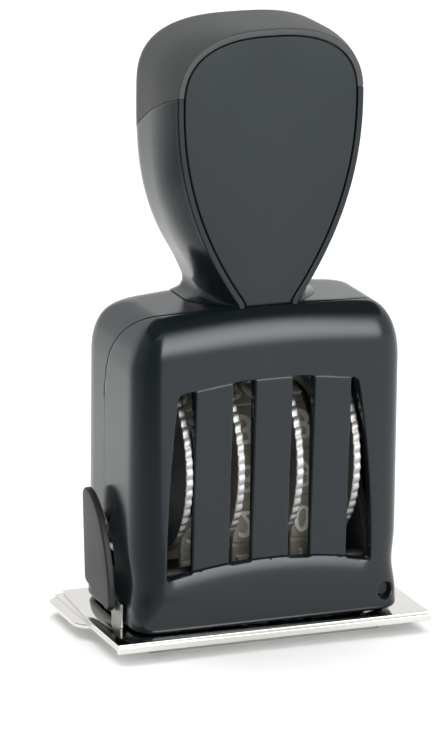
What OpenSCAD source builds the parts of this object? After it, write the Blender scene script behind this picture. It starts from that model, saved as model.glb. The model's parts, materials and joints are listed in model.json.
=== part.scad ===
// Hand date stamp: four band wheels in a two-shell housing, a teardrop handle,
// and a hinged metal plate that carries the printing die.
// Millimetres. +X to the right, +Y to the rear, +Z up.
// Z = 0 is the printing face, with the middle of the date line at X = 0, Y = 0.

/* [Plates and die] */
// Width of the metal plates
plate_w = 50; // [47:0.5:60]
// Depth of the metal plates
plate_d = 28; // [27:0.5:36]
// Thickness of the base plate
base_t = 0.5; // [0.4:0.05:0.8]
// Thickness of the text plate
text_t = 0.5; // [0.4:0.05:0.8]
// How far the text plate's lips stand down
lip_drop = 0.45; // [0.2:0.05:0.8]
// Reach of the finger tongue past the plate's left edge
tongue_out = 1.6; // [1:0.1:3]
// Thickness of the rubber die
die_t = 1.4; // [1.2:0.1:2]
// Thickness of the cushion between die and text plate
cushion_t = 0.9; // [0.6:0.1:1.5]
// Margin from the plate's front edge to the die
die_margin = 4.2; // [4:0.1:5]
// Slide of the text plate that frees it from its studs
text_slide = 3; // [2.2:0.1:3.2]

/* [Housing] */
// Width of the housing
body_w = 42.4; // [41.5:0.1:45]
// Depth of the housing
body_d = 24.4; // [23.5:0.1:26.5]
// Height of the housing at its shoulders
body_h = 47.7; // [46.5:0.1:54]
// Rise of the arched roof above the shoulders
roof_rise = 0.9; // [0.4:0.1:1.4]
// Wall thickness
wall = 1.6; // [1.2:0.1:2]
// Plan radius of the upright corners
corner_r = 5; // [3:0.1:6]
// Radius of the shoulders, seen from the front
shoulder_r = 6.4; // [5:0.1:9]
// Radius of the top front edge
front_top_r = 5; // [3:0.1:6]
// Radius of the top rear edge
rear_top_r = 9; // [5:0.1:10]
// Gap between the housing and the base plate
plate_gap = 0.3; // [0.2:0.05:0.6]
// Radius of the parting line over the shoulder
seam_r = 16; // [15.5:0.1:20]
// Height of the curved part of the parting line
seam_drop = 15; // [12:0.1:15.2]

/* [Grille] */
// Distance from the outer slots to the housing's sides
slot_edge = 5.4; // [5.2:0.1:6]
// Width of a slot
slot_w = 3.4; // [3:0.1:3.8]
// Bottom of the slots above the housing's lower edge
slot_low = 9.9; // [8:0.1:12]
// Height of the slots in the middle
slot_h = 28.1; // [24:0.1:30]
// Radius of the arched ends of the grille
arch_r = 75; // [50:1:120]
// Depth of the shallow recess that the bars stand in
grille_recess = 0.5; // [0.2:0.05:0.8]

/* [Handle] */
// Width of the handle
handle_w = 31.5; // [26:0.1:36]
// Width of the handle's neck
neck_w = 11.2; // [10.5:0.1:14]
// How much narrower the front face is, on each side
face_in = 1.1; // [0.6:0.1:1.6]
// Front of the handle, ahead of the middle
handle_front = 9.5; // [9:0.1:10.6]
// Rear of the handle, behind the middle
handle_rear = 9; // [8.5:0.1:11]
// Height of the handle above the housing
handle_h = 41.3; // [38:0.1:50]
// Height of its widest point above the housing
handle_wide = 30.4; // [28:0.1:36]
// Rounding of the handle's rear edge
handle_rear_r = 5.1; // [3:0.1:5.4]
// Width of the rim around the front panel
rim_w = 1.15; // [1:0.05:2]
// Thickness of the inlaid panels
panel_t = 0.9; // [0.6:0.05:1.4]
// Wall thickness of the handle
handle_wall = 2.4; // [2:0.1:3]
// Height of the cap's seam at the front, above the housing
cap_seam_up = 31.8; // [30:0.1:36]
// Radius of the cap's seam, seen from the side
cap_seam_r = 55; // [45:1:80]

/* [Wheels and bands] */
// Radius of the setting wheels
wheel_r = 14.8; // [13.8:0.1:15]
// Thickness of the setting wheels
wheel_t = 1.2; // [0.9:0.05:1.4]
// Teeth around a setting wheel
wheel_teeth = 57; // [40:1:70]
// Depth of the teeth
tooth_h = 0.7; // [0.3:0.05:1]
// How far the wheels stay behind the housing's front face
wheel_sink = 0.1; // [0.1:0.05:0.6]
// How far the axle lies below the middle of the housing's height
axle_drop = 0.45; // [0:0.05:0.8]
// Radius of the axle
axle_r = 1.5; // [1.2:0.05:2]
// Radius of the drums that the bands run over
hub_r = 8.9; // [8:0.1:9.4]
// Thickness of a rubber band
band_t = 1; // [0.8:0.05:1.2]
// Height of the raised figures
type_h = 0.8; // [0.6:0.05:1]
// Figures around each band
type_count = 13; // [8:1:14]
// Length of a raised figure's block along the band
type_len = 4.4; // [3:0.1:4.8]

/* [Frame] */
// Thickness of the frame cheeks
cheek_t = 1.2; // [0.8:0.05:1.4]
// Radius of the tie rod
tie_r = 0.9; // [0.7:0.05:1]
// Half width of the flat printing line under the bridge
nose_flat = 2.6; // [2.3:0.05:3]
// Radius of the bridge's lower edges
nose_r = 1.9; // [1.5:0.05:2.2]

/* [Release lever] */
// Height of the lever
lever_h = 17; // [14:0.1:20]
// Depth of the lever along the housing's side
lever_d = 10.8; // [9:0.1:13]
// Thickness of the lever
lever_t = 1.05; // [0.9:0.05:1.6]
// Height of the lever's pivot above the housing's lower edge
pivot_up = 9.6; // [8.5:0.1:11]
// Radius of the lever's pin
lever_pin_r = 0.75; // [0.6:0.05:0.9]
// Radius of the plate's hinge pin
plate_pin_r = 1; // [0.8:0.05:1.1]

/* [Hidden] */
$fn = 96;

// Clearances
fit = 0.02;        // a pin that is held fast in its hole
run = 0.05;        // a running fit, on the radius
play = 0.1;        // end play and seams
clear = 0.3;       // between pieces that move past each other
past = 1;          // how far a cut runs past a face
embed = 0.1;       // how far joined shapes sink into each other

// Colours
black_gloss = [0.10, 0.11, 0.11];
black_matte = [0.17, 0.18, 0.18];
lever_grey = [0.25, 0.25, 0.25];
nickel = [0.84, 0.84, 0.82];
steel = [0.62, 0.63, 0.64];
rubber = [0.66, 0.65, 0.59];
die_grey = [0.80, 0.80, 0.79];
foam = [0.55, 0.55, 0.52];

// Levels, from the printing face up
z_text = die_t + cushion_t;
z_base = z_text + text_t;
z_top = z_base + base_t;
z_body = z_top + plate_gap;
z_roof = z_body + body_h;
z_crown = z_roof + roof_rise;

// Roof: an arch that runs smoothly into the shoulders
shoulder_x = body_w / 2 - shoulder_r;
shoulder_z = z_roof - shoulder_r;
roof_r = shoulder_r + (shoulder_x ^ 2 + roof_rise ^ 2) / (2 * roof_rise);
roof_z = z_crown - roof_r;

// Wheel axle: the wheels' front edge lies just behind the housing's front face
axle_y = wheel_r + wheel_sink - body_d / 2;
axle_z = z_body + body_h / 2 - axle_drop;

// Slots and wheels, from left to right
slot_pitch = (body_w - 2 * slot_edge - slot_w) / 3;
function slot_x(k) = (k - 1.5) * slot_pitch;
disc_shift = [0.95, -0.2, -0.25, -0.5];
function disc_x(k) = slot_x(k) + disc_shift[k];
spacer_gap = 0.9;
spacer_r = 2.6;
spigot_r = 3;
hub_mid = (disc_x(2) + disc_x(3)) / 2;
hub_from = [disc_x(0) + wheel_t / 2, disc_x(1) + wheel_t / 2, disc_x(2) + wheel_t / 2,
    hub_mid + spacer_gap / 2];
hub_to = [disc_x(1) - wheel_t / 2 - spacer_gap, disc_x(2) - wheel_t / 2 - spacer_gap,
    hub_mid - spacer_gap / 2, disc_x(3) - wheel_t / 2];
band_side = 0.25;
function band_from(k) = hub_from[k] + band_side;
function band_to(k) = hub_to[k] - band_side;

// Frame cheeks
cheek_in = 1.5 * slot_pitch + slot_w / 2 + 0.4;
cheek_out = cheek_in + cheek_t;
cheek_low = z_top + 0.6;
cheek_foot = 5;
cheek_waist = 5;
cheek_head = 3.2;
cheek_rise = 6;
bridge_h = 5.1;
bridge_top = cheek_low + bridge_h;
bridge_half = 4.2;
bridge_screw_z = cheek_low + bridge_h / 2;
bridge_screw_r = 0.95;
bridge_screw_in = 4.5;
bridge_head_r = 1.7;
bridge_head_t = 0.6;

// Axle clips, seated in grooves outside the cheeks
clip_t = 0.6;
clip_r = 2.8;
groove_r = axle_r - 0.25;
boss_in = cheek_out + clip_t + 0.4;
axle_boss_r = 3.2;
axle_end = body_w / 2 - 1;

// Band path: round the drum, down both sides and under the bridge's nose
belt_r = hub_r + 0.2;
nose_z = type_h + band_t + nose_r;
function span(y) = norm([y - axle_y, nose_z - axle_z]);
function lean(y) = acos((belt_r - nose_r) / span(y));
front_a = atan2(nose_z - axle_z, -nose_flat - axle_y) - lean(-nose_flat) + 360;
rear_a = atan2(nose_z - axle_z, nose_flat - axle_y) + lean(nose_flat);
function arc(y, z, r, a0, a1, n) = [for (i = [0:n]) let (a = a0 + (a1 - a0) * i / n)
    [y + r * cos(a), z + r * sin(a)]];
function belt(o) = concat(arc(axle_y, axle_z, belt_r + o, rear_a, front_a, 40),
    arc(-nose_flat, nose_z, nose_r + o, front_a, 270, 8),
    arc(nose_flat, nose_z, nose_r + o, 270, 360 + rear_a, 8));
// Lengths of the band's outer face: half flat, rear nose, rear run, drum, front run, front nose
function run_len(y) = sqrt(span(y) ^ 2 - (belt_r - nose_r) ^ 2);
function arc_len(r, a) = r * a * PI / 180;
len_1 = nose_flat;
len_2 = len_1 + arc_len(nose_r + band_t, 90 + rear_a);
len_3 = len_2 + run_len(nose_flat);
len_4 = len_3 + arc_len(belt_r + band_t, front_a - rear_a);
len_5 = len_4 + run_len(-nose_flat);
len_6 = len_5 + arc_len(nose_r + band_t, 270 - front_a);
belt_len = len_6 + nose_flat;
// Place and outward direction at distance s along the band, from the middle of the printing line
function on_arc(y, z, r, a) = [y + r * cos(a), z + r * sin(a), a];
function on_run(y, z, r, a, s) = [y + r * cos(a) - s * sin(a), z + r * sin(a) + s * cos(a), a];
nose_out = nose_r + band_t;
drum_out = belt_r + band_t;
function turn(s, r) = s / r * 180 / PI;
function on_band(s) =
    s < len_1 ? [s, type_h, 270] :
    s < len_2 ? on_arc(nose_flat, nose_z, nose_out, 270 + turn(s - len_1, nose_out)) :
    s < len_3 ? on_run(nose_flat, nose_z, nose_out, rear_a, s - len_2) :
    s < len_4 ? on_arc(axle_y, axle_z, drum_out, rear_a + turn(s - len_3, drum_out)) :
    s < len_5 ? on_run(axle_y, axle_z, drum_out, front_a, s - len_4) :
    s < len_6 ? on_arc(-nose_flat, nose_z, nose_out, front_a + turn(s - len_5, nose_out)) :
    [s - belt_len, type_h, 270];

// Tie rod of the cheeks, behind the lip and ahead of the bands' front run
tie_z = z_body + slot_low - 2;
tie_gap = 0.35;
front_run = axle_y + (belt_r + band_t + type_h + (axle_z - tie_z) * sin(front_a)) / cos(front_a);
tie_y = front_run - tie_gap - tie_r;
tie_rim = 0.6;
tie_rivet = 0.5;

// Window in the plates and the die that the bands print through
window_left = band_from(0) - 1.2;
window_right = band_to(3) + text_slide + 0.7;
window_half = nose_flat + nose_r + band_t + type_h + 0.4;

// Plate hinge, at the lower right
pin_x = body_w / 2 - 2.6;
pin_z = z_top + 3.3;
ear_r = plate_pin_r + 0.6;
ear_t = 0.8;
ear_web = 0.2;
ear_y = body_d / 2 - 4.6;
pin_boss_r = 2.2;
pin_end = body_d / 2 - 1.8;
sink_r = plate_pin_r + 0.3;
swing_chamfer = 1.4;

// Lug beside the lever's foot
lug_t = 0.45;
lug_x = -body_w / 2 - 0.2;
lug_front = -6.5;
lug_d = 4;
lug_h = 3.7;

// Studs that hold the text plate
stud_x = plate_w / 2 - 5.7;
stud_y = plate_d / 2 - 2.7;
stud_r = 0.8;
stud_head_r = 1.5;
stud_head_t = 0.5;
die_left = window_left - 4.9;
die_right = window_right + 2;
die_half = plate_d / 2 - die_margin;

// Lever and its pivot
lever_x = -(body_w / 2 - 1.8);
lever_z = z_body + pivot_up;
lever_low = z_top + 2;
lever_rear = axle_y + 3.2;
lever_front = lever_rear - lever_d;
lever_foot_x = -body_w / 2 - 0.85;
lever_lean = 0.55;
barrel_r = lever_pin_r + 0.75;
barrel_half = 2.9;
barrel_y = axle_y - 0.6;
lever_boss_r = 1.8;
lever_boss_l = 2.4;
spring_t = 0.25;
spring_half = 1.5;

// Screws
screw_x = 13;
screw_z = z_roof - wall - 2.3;
screw_r = 1;
screw_head_r = 1.9;
screw_head_t = 1.4;
screw_seat = body_d / 2 - 3.4;
screw_tip = 8.5 - body_d / 2;
screw_boss_r = 2;
handle_mid = (handle_rear - handle_front) / 2;
handle_screw_r = 1.25;
handle_screw_l = 14;
handle_head_r = 2.3;
handle_head_t = 1.3;
peg_r = 0.9;
peg_gap = 5.6;

// Handle outline: half width against height, from the widest point down and up.
// s = 0 is the outline of the middle, s = 1 the narrower one of the front face.
handle_top = z_crown + handle_h;
wide_z = z_crown + handle_wide;
taper = 2.9;
flare = 2.1;
flare_from = 0.78;
crown = 2.8;
face_neck_in = 0.85;
face_taper = 2.15;
face_crown = 2.5;
skirt = 5;
side_steps = 14;
top_steps = 10;
function part_way(a, b, s) = a + (b - a) * s;
function middle_w(u) = part_way(handle_w, neck_w, u ^ taper) / 2
    + flare * (max(0, u - flare_from) / (1 - flare_from)) ^ 2;
function face_w(u) = part_way(handle_w / 2 - face_in, neck_w / 2 - face_neck_in, u ^ face_taper);
function side_w(u, s) = part_way(middle_w(u), face_w(u), s);
function half_outline(s) = concat([[side_w(1, s), z_crown - skirt]],
    [for (i = [0:side_steps - 1]) let (u = 1 - i / side_steps) [side_w(u, s), wide_z - u * handle_wide]],
    [for (i = [0:top_steps]) let (a = 90 * i / top_steps, power = 2 / part_way(crown, face_crown, s))
        [side_w(0, s) * max(0, cos(a)) ^ power, wide_z + (handle_h - handle_wide) * sin(a) ^ power]]);
last = side_steps + top_steps + 1;
function slope(half, i) = i == 0 ? [0, 1] : i == last ? [-1, 0] : half[i + 1] - half[i - 1];
function inward(half, i) = let (t = slope(half, i) / norm(slope(half, i))) [-t.y, t.x];
// Outline moved in by d, right side up and left side down
function inset_half(half, d) = [for (i = [0:last]) half[i] + d * inward(half, i)];
function outline(d, s) = let (half = inset_half(half_outline(s), d))
    concat(half, [for (i = [last - 1:-1:0]) [-half[i].x, half[i].y]]);
// Rings of the handle from front to rear: distance, inset and share of the front face's outline
face_steps = 4;
rear_steps = 4;
front_edge = 0.3;
swell_y = -0.9;
swell_power = 2;
rings = concat([[-handle_front, front_edge, 1]],
    [for (i = [0:face_steps]) let (gone = i / face_steps)
        [part_way(-handle_front + front_edge, swell_y, gone), 0, (1 - gone) ^ swell_power]],
    [for (i = [0:rear_steps]) let (a = 90 * i / rear_steps)
        [handle_rear - handle_rear_r + handle_rear_r * sin(a), handle_rear_r * (1 - cos(a)), 0]]);
panel_low = z_crown + 0.3;
groove = 0.15;
rear_panel_in = handle_rear_r + 1;
cavity_low = z_crown + 2.7;
cavity_s = 0.5;
cavity_front = panel_t + 1.6;
cavity_rear = handle_rear_r - 1.4;
screw_post_r = 3;
cap_lip = 1.1;
cap_lip_l = 3;

// Plain shapes along the three axes
module xcyl(y, z, r, x0, x1) { translate([x0, y, z]) rotate([0, 90, 0]) cylinder(h = x1 - x0, r = r); }
module ycyl(x, z, r, y0, y1) { translate([x, y1, z]) rotate([90, 0, 0]) cylinder(h = y1 - y0, r = r); }
module zcyl(x, y, r, z0, z1) { translate([x, y, z0]) cylinder(h = z1 - z0, r = r); }
module block(x0, x1, y0, y1, z0, z1) { translate([x0, y0, z0]) cube([x1 - x0, y1 - y0, z1 - z0]); }
// A polygon of Y and Z, carried along X
module along_x(points, x0, x1) {
    translate([x0, 0, 0]) rotate([90, 0, 90]) linear_extrude(x1 - x0) polygon(points);
}
// A polygon of X and Z, carried along Y
module along_y(points, y0, y1) {
    translate([0, y1, 0]) rotate([90, 0, 0]) linear_extrude(y1 - y0) polygon(points);
}

// Upright block with round corners
module round_prism(w, d, r, z0, z1) {
    block(-w / 2 + r, w / 2 - r, -d / 2, d / 2, z0, z1);
    block(-w / 2, w / 2, -d / 2 + r, d / 2 - r, z0, z1);
    for (x = [-1, 1], y = [-1, 1]) zcyl(x * (w / 2 - r), y * (d / 2 - r), r, z0, z1);
}

// The housing's outer form, moved in by d, from z0 up
module body_form(d, z0) {
    w = body_w / 2 - d;
    f = body_d / 2 - d;
    top = z_crown - d;
    arch_end = shoulder_x + (shoulder_r - d) * shoulder_x / (roof_r - shoulder_r);
    difference() {
        intersection() {
            round_prism(2 * w, 2 * f, corner_r - d, z0, top + past);
            ycyl(0, roof_z, roof_r - d, -f - past, f + past);
        }
        for (s = [-1, 1]) mirror([s < 0 ? 1 : 0, 0, 0]) difference() {
            block(arch_end, w + past, -f - past, f + past, shoulder_z, top + past);
            ycyl(shoulder_x, shoulder_z, shoulder_r - d, -f - 2 * past, f + 2 * past);
        }
        difference() {
            block(-w - past, w + past, -f - past, -f + front_top_r - d, top - front_top_r + d,
                top + 2 * past);
            xcyl(-f + front_top_r - d, top - front_top_r + d, front_top_r - d, -w - 2 * past, w + 2 * past);
        }
        difference() {
            block(-w - past, w + past, f - rear_top_r + d, f + past, top - rear_top_r + d, top + 2 * past);
            xcyl(f - rear_top_r + d, top - rear_top_r + d, rear_top_r - d, -w - 2 * past, w + 2 * past);
        }
    }
}

// Space of the grille: arched above and below, wider towards the bottom, its left side flatter
module grille_form(y0, y1) {
    low = z_body + slot_low;
    right_r = 157;
    right_x = 1.5 * slot_pitch + slot_w / 2 + 0.2;
    left_r = 240;
    left_x = right_x + 0.6;
    side_z = low - 1.5;
    difference() {
        intersection() {
            ycyl(0, low + slot_h - arch_r, arch_r, y0, y1);
            ycyl(right_x - right_r, side_z, right_r, y0, y1);
            ycyl(left_r - left_x, side_z, left_r, y0, y1);
        }
        ycyl(0, low - arch_r, arch_r, y0 - past, y1 + past);
    }
}

// Bosses inside the housing
module housing_bosses() {
    for (s = [-1, 1]) mirror([s < 0 ? 1 : 0, 0, 0]) {
        xcyl(axle_y, axle_z, axle_boss_r, boss_in, body_w / 2);
        ycyl(screw_x, screw_z, screw_boss_r, -body_d / 2, body_d / 2);
    }
    for (s = [-1, 1]) mirror([0, s < 0 ? 1 : 0, 0])
        ycyl(pin_x, pin_z, pin_boss_r, ear_y + ear_t / 2 + clear, body_d / 2);
    for (s = [-1, 1]) translate([0, barrel_y, 0]) mirror([0, s < 0 ? 1 : 0, 0])
        ycyl(lever_x, lever_z, lever_boss_r, barrel_half + clear, barrel_half + clear + lever_boss_l);
}

// Holes and windows of the housing
module housing_cuts() {
    front = -body_d / 2;
    rear = body_d / 2;
    // Grille: shallow recess, then the slots
    grille_form(front - past, front + grille_recess);
    for (k = [0:3]) intersection() {
        grille_form(front - past, front + wall + past);
        block(slot_x(k) - slot_w / 2 - (k == 0 ? past : 0), slot_x(k) + slot_w / 2 + (k == 3 ? past : 0),
            front - 2 * past, front + wall + 2 * past, z_body, z_roof);
    }
    // Rear window for the wheels and bands
    window_w = 2 * cheek_in - 0.8;
    window_h = 2 * (wheel_r - 1);
    window_r = 3;
    translate([0, rear, axle_z]) rotate([90, 0, 0])
        round_prism(window_w, window_h, window_r, -past, wall + past);
    // Axle seats
    xcyl(axle_y, axle_z, axle_r + fit, -axle_end - play, axle_end + play);
    // Plate pin, its open front end and the room that its ears turn in
    ycyl(pin_x, pin_z, plate_pin_r + fit, -pin_end - play, pin_end + play);
    ycyl(pin_x, pin_z, sink_r, front - past, -pin_end);
    for (s = [-1, 1]) block(pin_x - ear_r - clear, pin_x + ear_r + clear, s * ear_y - ear_t / 2 - clear,
        s * ear_y + ear_t / 2 + clear, z_body - past, pin_z + ear_r + clear);
    // Lower right edge, cut back for the plate to swing
    side = body_w / 2;
    along_y([[side - swing_chamfer, z_body - past], [side - swing_chamfer, z_body],
        [side + past, z_body + swing_chamfer + past], [side + past, z_body - past]],
        front - past, rear + past);
    // Lever window and pin
    window_gap = 0.7;
    block(-side - past, -side + wall + past, barrel_y - barrel_half - clear, barrel_y + barrel_half + clear,
        lever_z - barrel_r - window_gap, lever_z + barrel_r + window_gap);
    lever_bore = barrel_half + lever_boss_l;
    ycyl(lever_x, lever_z, lever_pin_r + fit, barrel_y - lever_bore, barrel_y + lever_bore);
    // Housing screws
    for (s = [-1, 1]) {
        ycyl(s * screw_x, screw_z, screw_r + fit, screw_tip - play, rear);
        ycyl(s * screw_x, screw_z, screw_head_r + play, screw_seat, rear + past);
    }
    // Handle screw and pegs
    zcyl(0, handle_mid, handle_screw_r + play, z_crown - wall - past, z_crown + past);
    for (s = [-1, 1]) zcyl(0, handle_mid + s * peg_gap, peg_r + run, z_crown - wall - past, z_crown + past);
}

module housing() {
    difference() {
        union() {
            difference() {
                body_form(0, z_body);
                body_form(wall, z_body - past);
            }
            intersection() {
                housing_bosses();
                body_form(wall / 4, z_body + clear);
            }
        }
        housing_cuts();
    }
}

// Everything ahead of the parting line, moved back by g
module front_zone(g) {
    seam_z = z_roof - seam_drop;
    reach = body_w;
    block(-reach, reach, -body_d, axle_y + g, z_body - past, seam_z);
    xcyl(axle_y - seam_r, seam_z, seam_r + g, -reach, reach);
}

module front_shell() {
    color(black_gloss) intersection() {
        housing();
        front_zone(0);
    }
}

module rear_shell() {
    color(black_gloss) difference() {
        housing();
        front_zone(play);
    }
}

// The handle's form: outline rings from the front rim to the rounded rear
module handle_form() {
    n = 2 * last + 1;
    m = len(rings);
    points = [for (ring = rings) for (p = outline(ring[1], ring[2])) [p.x, ring[0], p.y]];
    sides = [for (k = [0:m - 2]) for (j = [0:n - 1]) for (t = [0, 1])
        let (a = k * n + j, b = k * n + (j + 1) % n)
        t == 0 ? [a, b, b + n] : [a, b + n, a + n]];
    front = [[for (j = [n - 1:-1:0]) j]];
    rear = [[for (j = [0:n - 1]) (m - 1) * n + j]];
    polyhedron(points = points, faces = concat(sides, front, rear));
}

// Below the cap's seam, moved up by g
module below_seam(g) {
    seam_tilt = 72.8;
    reach = handle_w;
    xcyl(-handle_front - cap_seam_r * cos(seam_tilt), z_crown + cap_seam_up - cap_seam_r * sin(seam_tilt),
        cap_seam_r + g, -reach, reach);
}

// Recesses for the two panels, and the hollow of the handle
module handle_hollows() {
    intersection() {
        along_y(outline(rim_w - groove, 1), -handle_front - past, -handle_front + panel_t);
        block(-handle_w, handle_w, -handle_front - past, handle_rear, panel_low - groove, handle_top);
    }
    intersection() {
        along_y(outline(rear_panel_in - groove, 0), handle_rear - panel_t, handle_rear + past);
        block(-handle_w, handle_w, -handle_front, handle_rear + past,
            panel_low + rear_panel_in - groove, handle_top);
    }
    intersection() {
        along_y(outline(handle_wall, cavity_s), -handle_front + cavity_front, handle_rear - cavity_rear);
        block(-handle_w, handle_w, -handle_front, handle_rear, cavity_low, handle_top);
    }
}

module handle_body() {
    color(black_gloss) difference() {
        union() {
            difference() {
                intersection() {
                    handle_form();
                    below_seam(0);
                }
                handle_hollows();
                body_form(-play, z_body);
            }
            zcyl(0, handle_mid, screw_post_r, z_crown + 1, z_crown + handle_screw_l + 2);
            for (s = [-1, 1]) zcyl(0, handle_mid + s * peg_gap, peg_r, z_crown - wall, z_crown + 1);
        }
        zcyl(0, handle_mid, handle_screw_r + fit, z_crown - past, z_crown + handle_screw_l);
    }
}

module handle_cap() {
    color(black_matte) union() {
        difference() {
            handle_form();
            below_seam(play);
            handle_hollows();
        }
        // Lip that locates the cap in the mouth of the handle
        intersection() {
            difference() {
                along_y(outline(handle_wall + play, cavity_s), -handle_front + cavity_front + play,
                    handle_rear - cavity_rear - play);
                along_y(outline(handle_wall + cap_lip, cavity_s), -handle_front, handle_rear);
                below_seam(-cap_lip_l);
            }
            below_seam(2 * play);
        }
        intersection() {
            difference() {
                along_y(outline(handle_wall - embed, cavity_s), -handle_front + cavity_front,
                    handle_rear - cavity_rear);
                along_y(outline(handle_wall + cap_lip, cavity_s), -handle_front, handle_rear);
                below_seam(play);
            }
            below_seam(1);
        }
    }
}

module front_panel() {
    color(black_matte) intersection() {
        along_y(outline(rim_w, 1), -handle_front, -handle_front + panel_t);
        block(-handle_w, handle_w, -handle_front, handle_rear, panel_low, handle_top);
    }
}

module rear_panel() {
    color(black_matte) intersection() {
        along_y(outline(rear_panel_in, 0), handle_rear - panel_t, handle_rear);
        block(-handle_w, handle_w, -handle_front, handle_rear, panel_low + rear_panel_in, handle_top);
    }
}

// Screw with a flat head and a cross recess, pointing up from z
module screw(r, l, head_r, head_t) {
    slot = head_r / 3;
    difference() {
        union() {
            cylinder(h = l, r = r);
            translate([0, 0, -head_t]) cylinder(h = head_t, r = head_r);
        }
        for (a = [0, 90]) rotate([0, 0, a]) translate([-head_r * 0.7, -slot / 2, -head_t - past])
            cube([head_r * 1.4, slot, past + head_t / 2]);
    }
}

module handle_screw() {
    color(steel) translate([0, handle_mid, z_crown - wall])
        screw(handle_screw_r, handle_screw_l + wall - past, handle_head_r, handle_head_t);
}

module housing_screws() {
    color(steel) for (s = [-1, 1]) translate([s * screw_x, screw_seat, screw_z])
        rotate([90, 0, 0]) screw(screw_r, screw_seat - screw_tip, screw_head_r, screw_head_t);
}

// Frame cheek, on the right side
module cheek() {
    x0 = cheek_in - past;
    x1 = cheek_out + past;
    color(black_matte) difference() {
        along_x([[-cheek_foot, cheek_low], [cheek_foot, cheek_low], [axle_y + cheek_waist, axle_z],
            [axle_y + cheek_head, axle_z + cheek_rise], [axle_y - cheek_head, axle_z + cheek_rise],
            [axle_y - cheek_waist, axle_z], [tie_y - 2 * tie_r, tie_z + 2 * tie_r],
            [tie_y - 2 * tie_r, tie_z - tie_r], [-cheek_foot, pin_z + ear_r + 2 * clear]],
            cheek_in, cheek_out);
        xcyl(axle_y, axle_z, axle_r + fit, x0, x1);
        xcyl(tie_y, tie_z, tie_r + fit, x0, x1);
        xcyl(0, bridge_screw_z, bridge_screw_r + fit, x0, x1);
        xcyl(0, bridge_screw_z, bridge_head_r + play, cheek_out - bridge_head_t, x1);
    }
}
module left_cheek() { mirror([1, 0, 0]) cheek(); }
module right_cheek() { cheek(); }

module tie_rod() {
    color(steel) {
        xcyl(tie_y, tie_z, tie_r, -cheek_out - tie_rivet, cheek_out + tie_rivet);
        for (s = [-1, 1]) mirror([s < 0 ? 1 : 0, 0, 0])
            xcyl(tie_y, tie_z, tie_r + tie_rim, cheek_out, cheek_out + tie_rivet);
    }
}

module wheel_axle() {
    color(steel) difference() {
        xcyl(axle_y, axle_z, axle_r, -axle_end, axle_end);
        for (s = [-1, 1]) mirror([s < 0 ? 1 : 0, 0, 0]) difference() {
            xcyl(axle_y, axle_z, axle_r + past, cheek_out + play, cheek_out + clip_t + 2 * play);
            xcyl(axle_y, axle_z, groove_r, cheek_out, cheek_out + clip_t + 3 * play);
        }
    }
}

module axle_clips() {
    color(steel) for (s = [-1, 1]) mirror([s < 0 ? 1 : 0, 0, 0]) difference() {
        xcyl(axle_y, axle_z, clip_r, cheek_out + 1.5 * play, cheek_out + clip_t + 1.5 * play);
        xcyl(axle_y, axle_z, groove_r + fit, cheek_out, cheek_out + clip_t + 3 * play);
        block(cheek_out, cheek_out + clip_t + 3 * play, axle_y - groove_r - fit, axle_y + groove_r + fit,
            axle_z - clip_r - past, axle_z);
    }
}

module axle_spacers() {
    gaps = [[-cheek_in, disc_x(0) - wheel_t / 2], [hub_to[0], disc_x(1) - wheel_t / 2],
        [hub_to[1], disc_x(2) - wheel_t / 2], [hub_to[2], hub_from[3]], [disc_x(3) + wheel_t / 2, cheek_in]];
    color(steel) for (g = gaps) difference() {
        xcyl(axle_y, axle_z, spacer_r, g[0] + play, g[1] - play);
        xcyl(axle_y, axle_z, axle_r + run, g[0], g[1]);
    }
}

module print_bridge() {
    color(black_matte) difference() {
        union() {
            intersection() {
                along_x(belt(-play), band_from(0), band_to(3));
                block(band_from(0), band_to(3), -wheel_r, wheel_r, 0, bridge_top);
            }
            block(-cheek_in, cheek_in, -bridge_half, bridge_half, cheek_low, bridge_top);
        }
        for (s = [-1, 1]) mirror([s < 0 ? 1 : 0, 0, 0])
            xcyl(0, bridge_screw_z, bridge_screw_r + fit,
                cheek_in - bridge_screw_in - clear, cheek_in + past);
    }
}

module bridge_screws() {
    color(steel) for (s = [-1, 1]) mirror([s < 0 ? 1 : 0, 0, 0])
        translate([cheek_out - bridge_head_t, 0, bridge_screw_z]) rotate([0, -90, 0])
            screw(bridge_screw_r, cheek_t - bridge_head_t + bridge_screw_in, bridge_head_r, bridge_head_t);
}

// Rubber band k with its raised figure blocks
module band(k) {
    x0 = band_from(k);
    x1 = band_to(k);
    margin = 0.3;
    color(rubber) {
        difference() {
            along_x(belt(band_t), x0, x1);
            along_x(belt(0), x0 - past, x1 + past);
        }
        for (i = [0:type_count - 1]) let (p = on_band(i * belt_len / type_count))
            translate([0, p[0], p[1]]) rotate([p[2] - 90, 0, 0])
                block(x0 + margin, x1 - margin, -type_len / 2, type_len / 2, -embed, type_h);
    }
}
module band_1() { band(0); }
module band_2() { band(1); }
module band_3() { band(2); }
module band_4() { band(3); }

// Setting wheel k: a serrated disc
module wheel(k) {
    steps = 4 * wheel_teeth;
    rim = [for (i = [0:steps - 1])
        let (a = 360 * i / steps, r = wheel_r - tooth_h / 2 * (1 - cos(a * wheel_teeth)))
        [axle_y + r * cos(a), axle_z + r * sin(a)]];
    x0 = disc_x(k) - wheel_t / 2;
    color(nickel) difference() {
        along_x(rim, x0, x0 + wheel_t);
        xcyl(axle_y, axle_z, spigot_r + fit, x0 - past, x0 + wheel_t + past);
    }
}
module wheel_1() { wheel(0); }
module wheel_2() { wheel(1); }
module wheel_3() { wheel(2); }
module wheel_4() { wheel(3); }

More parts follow.
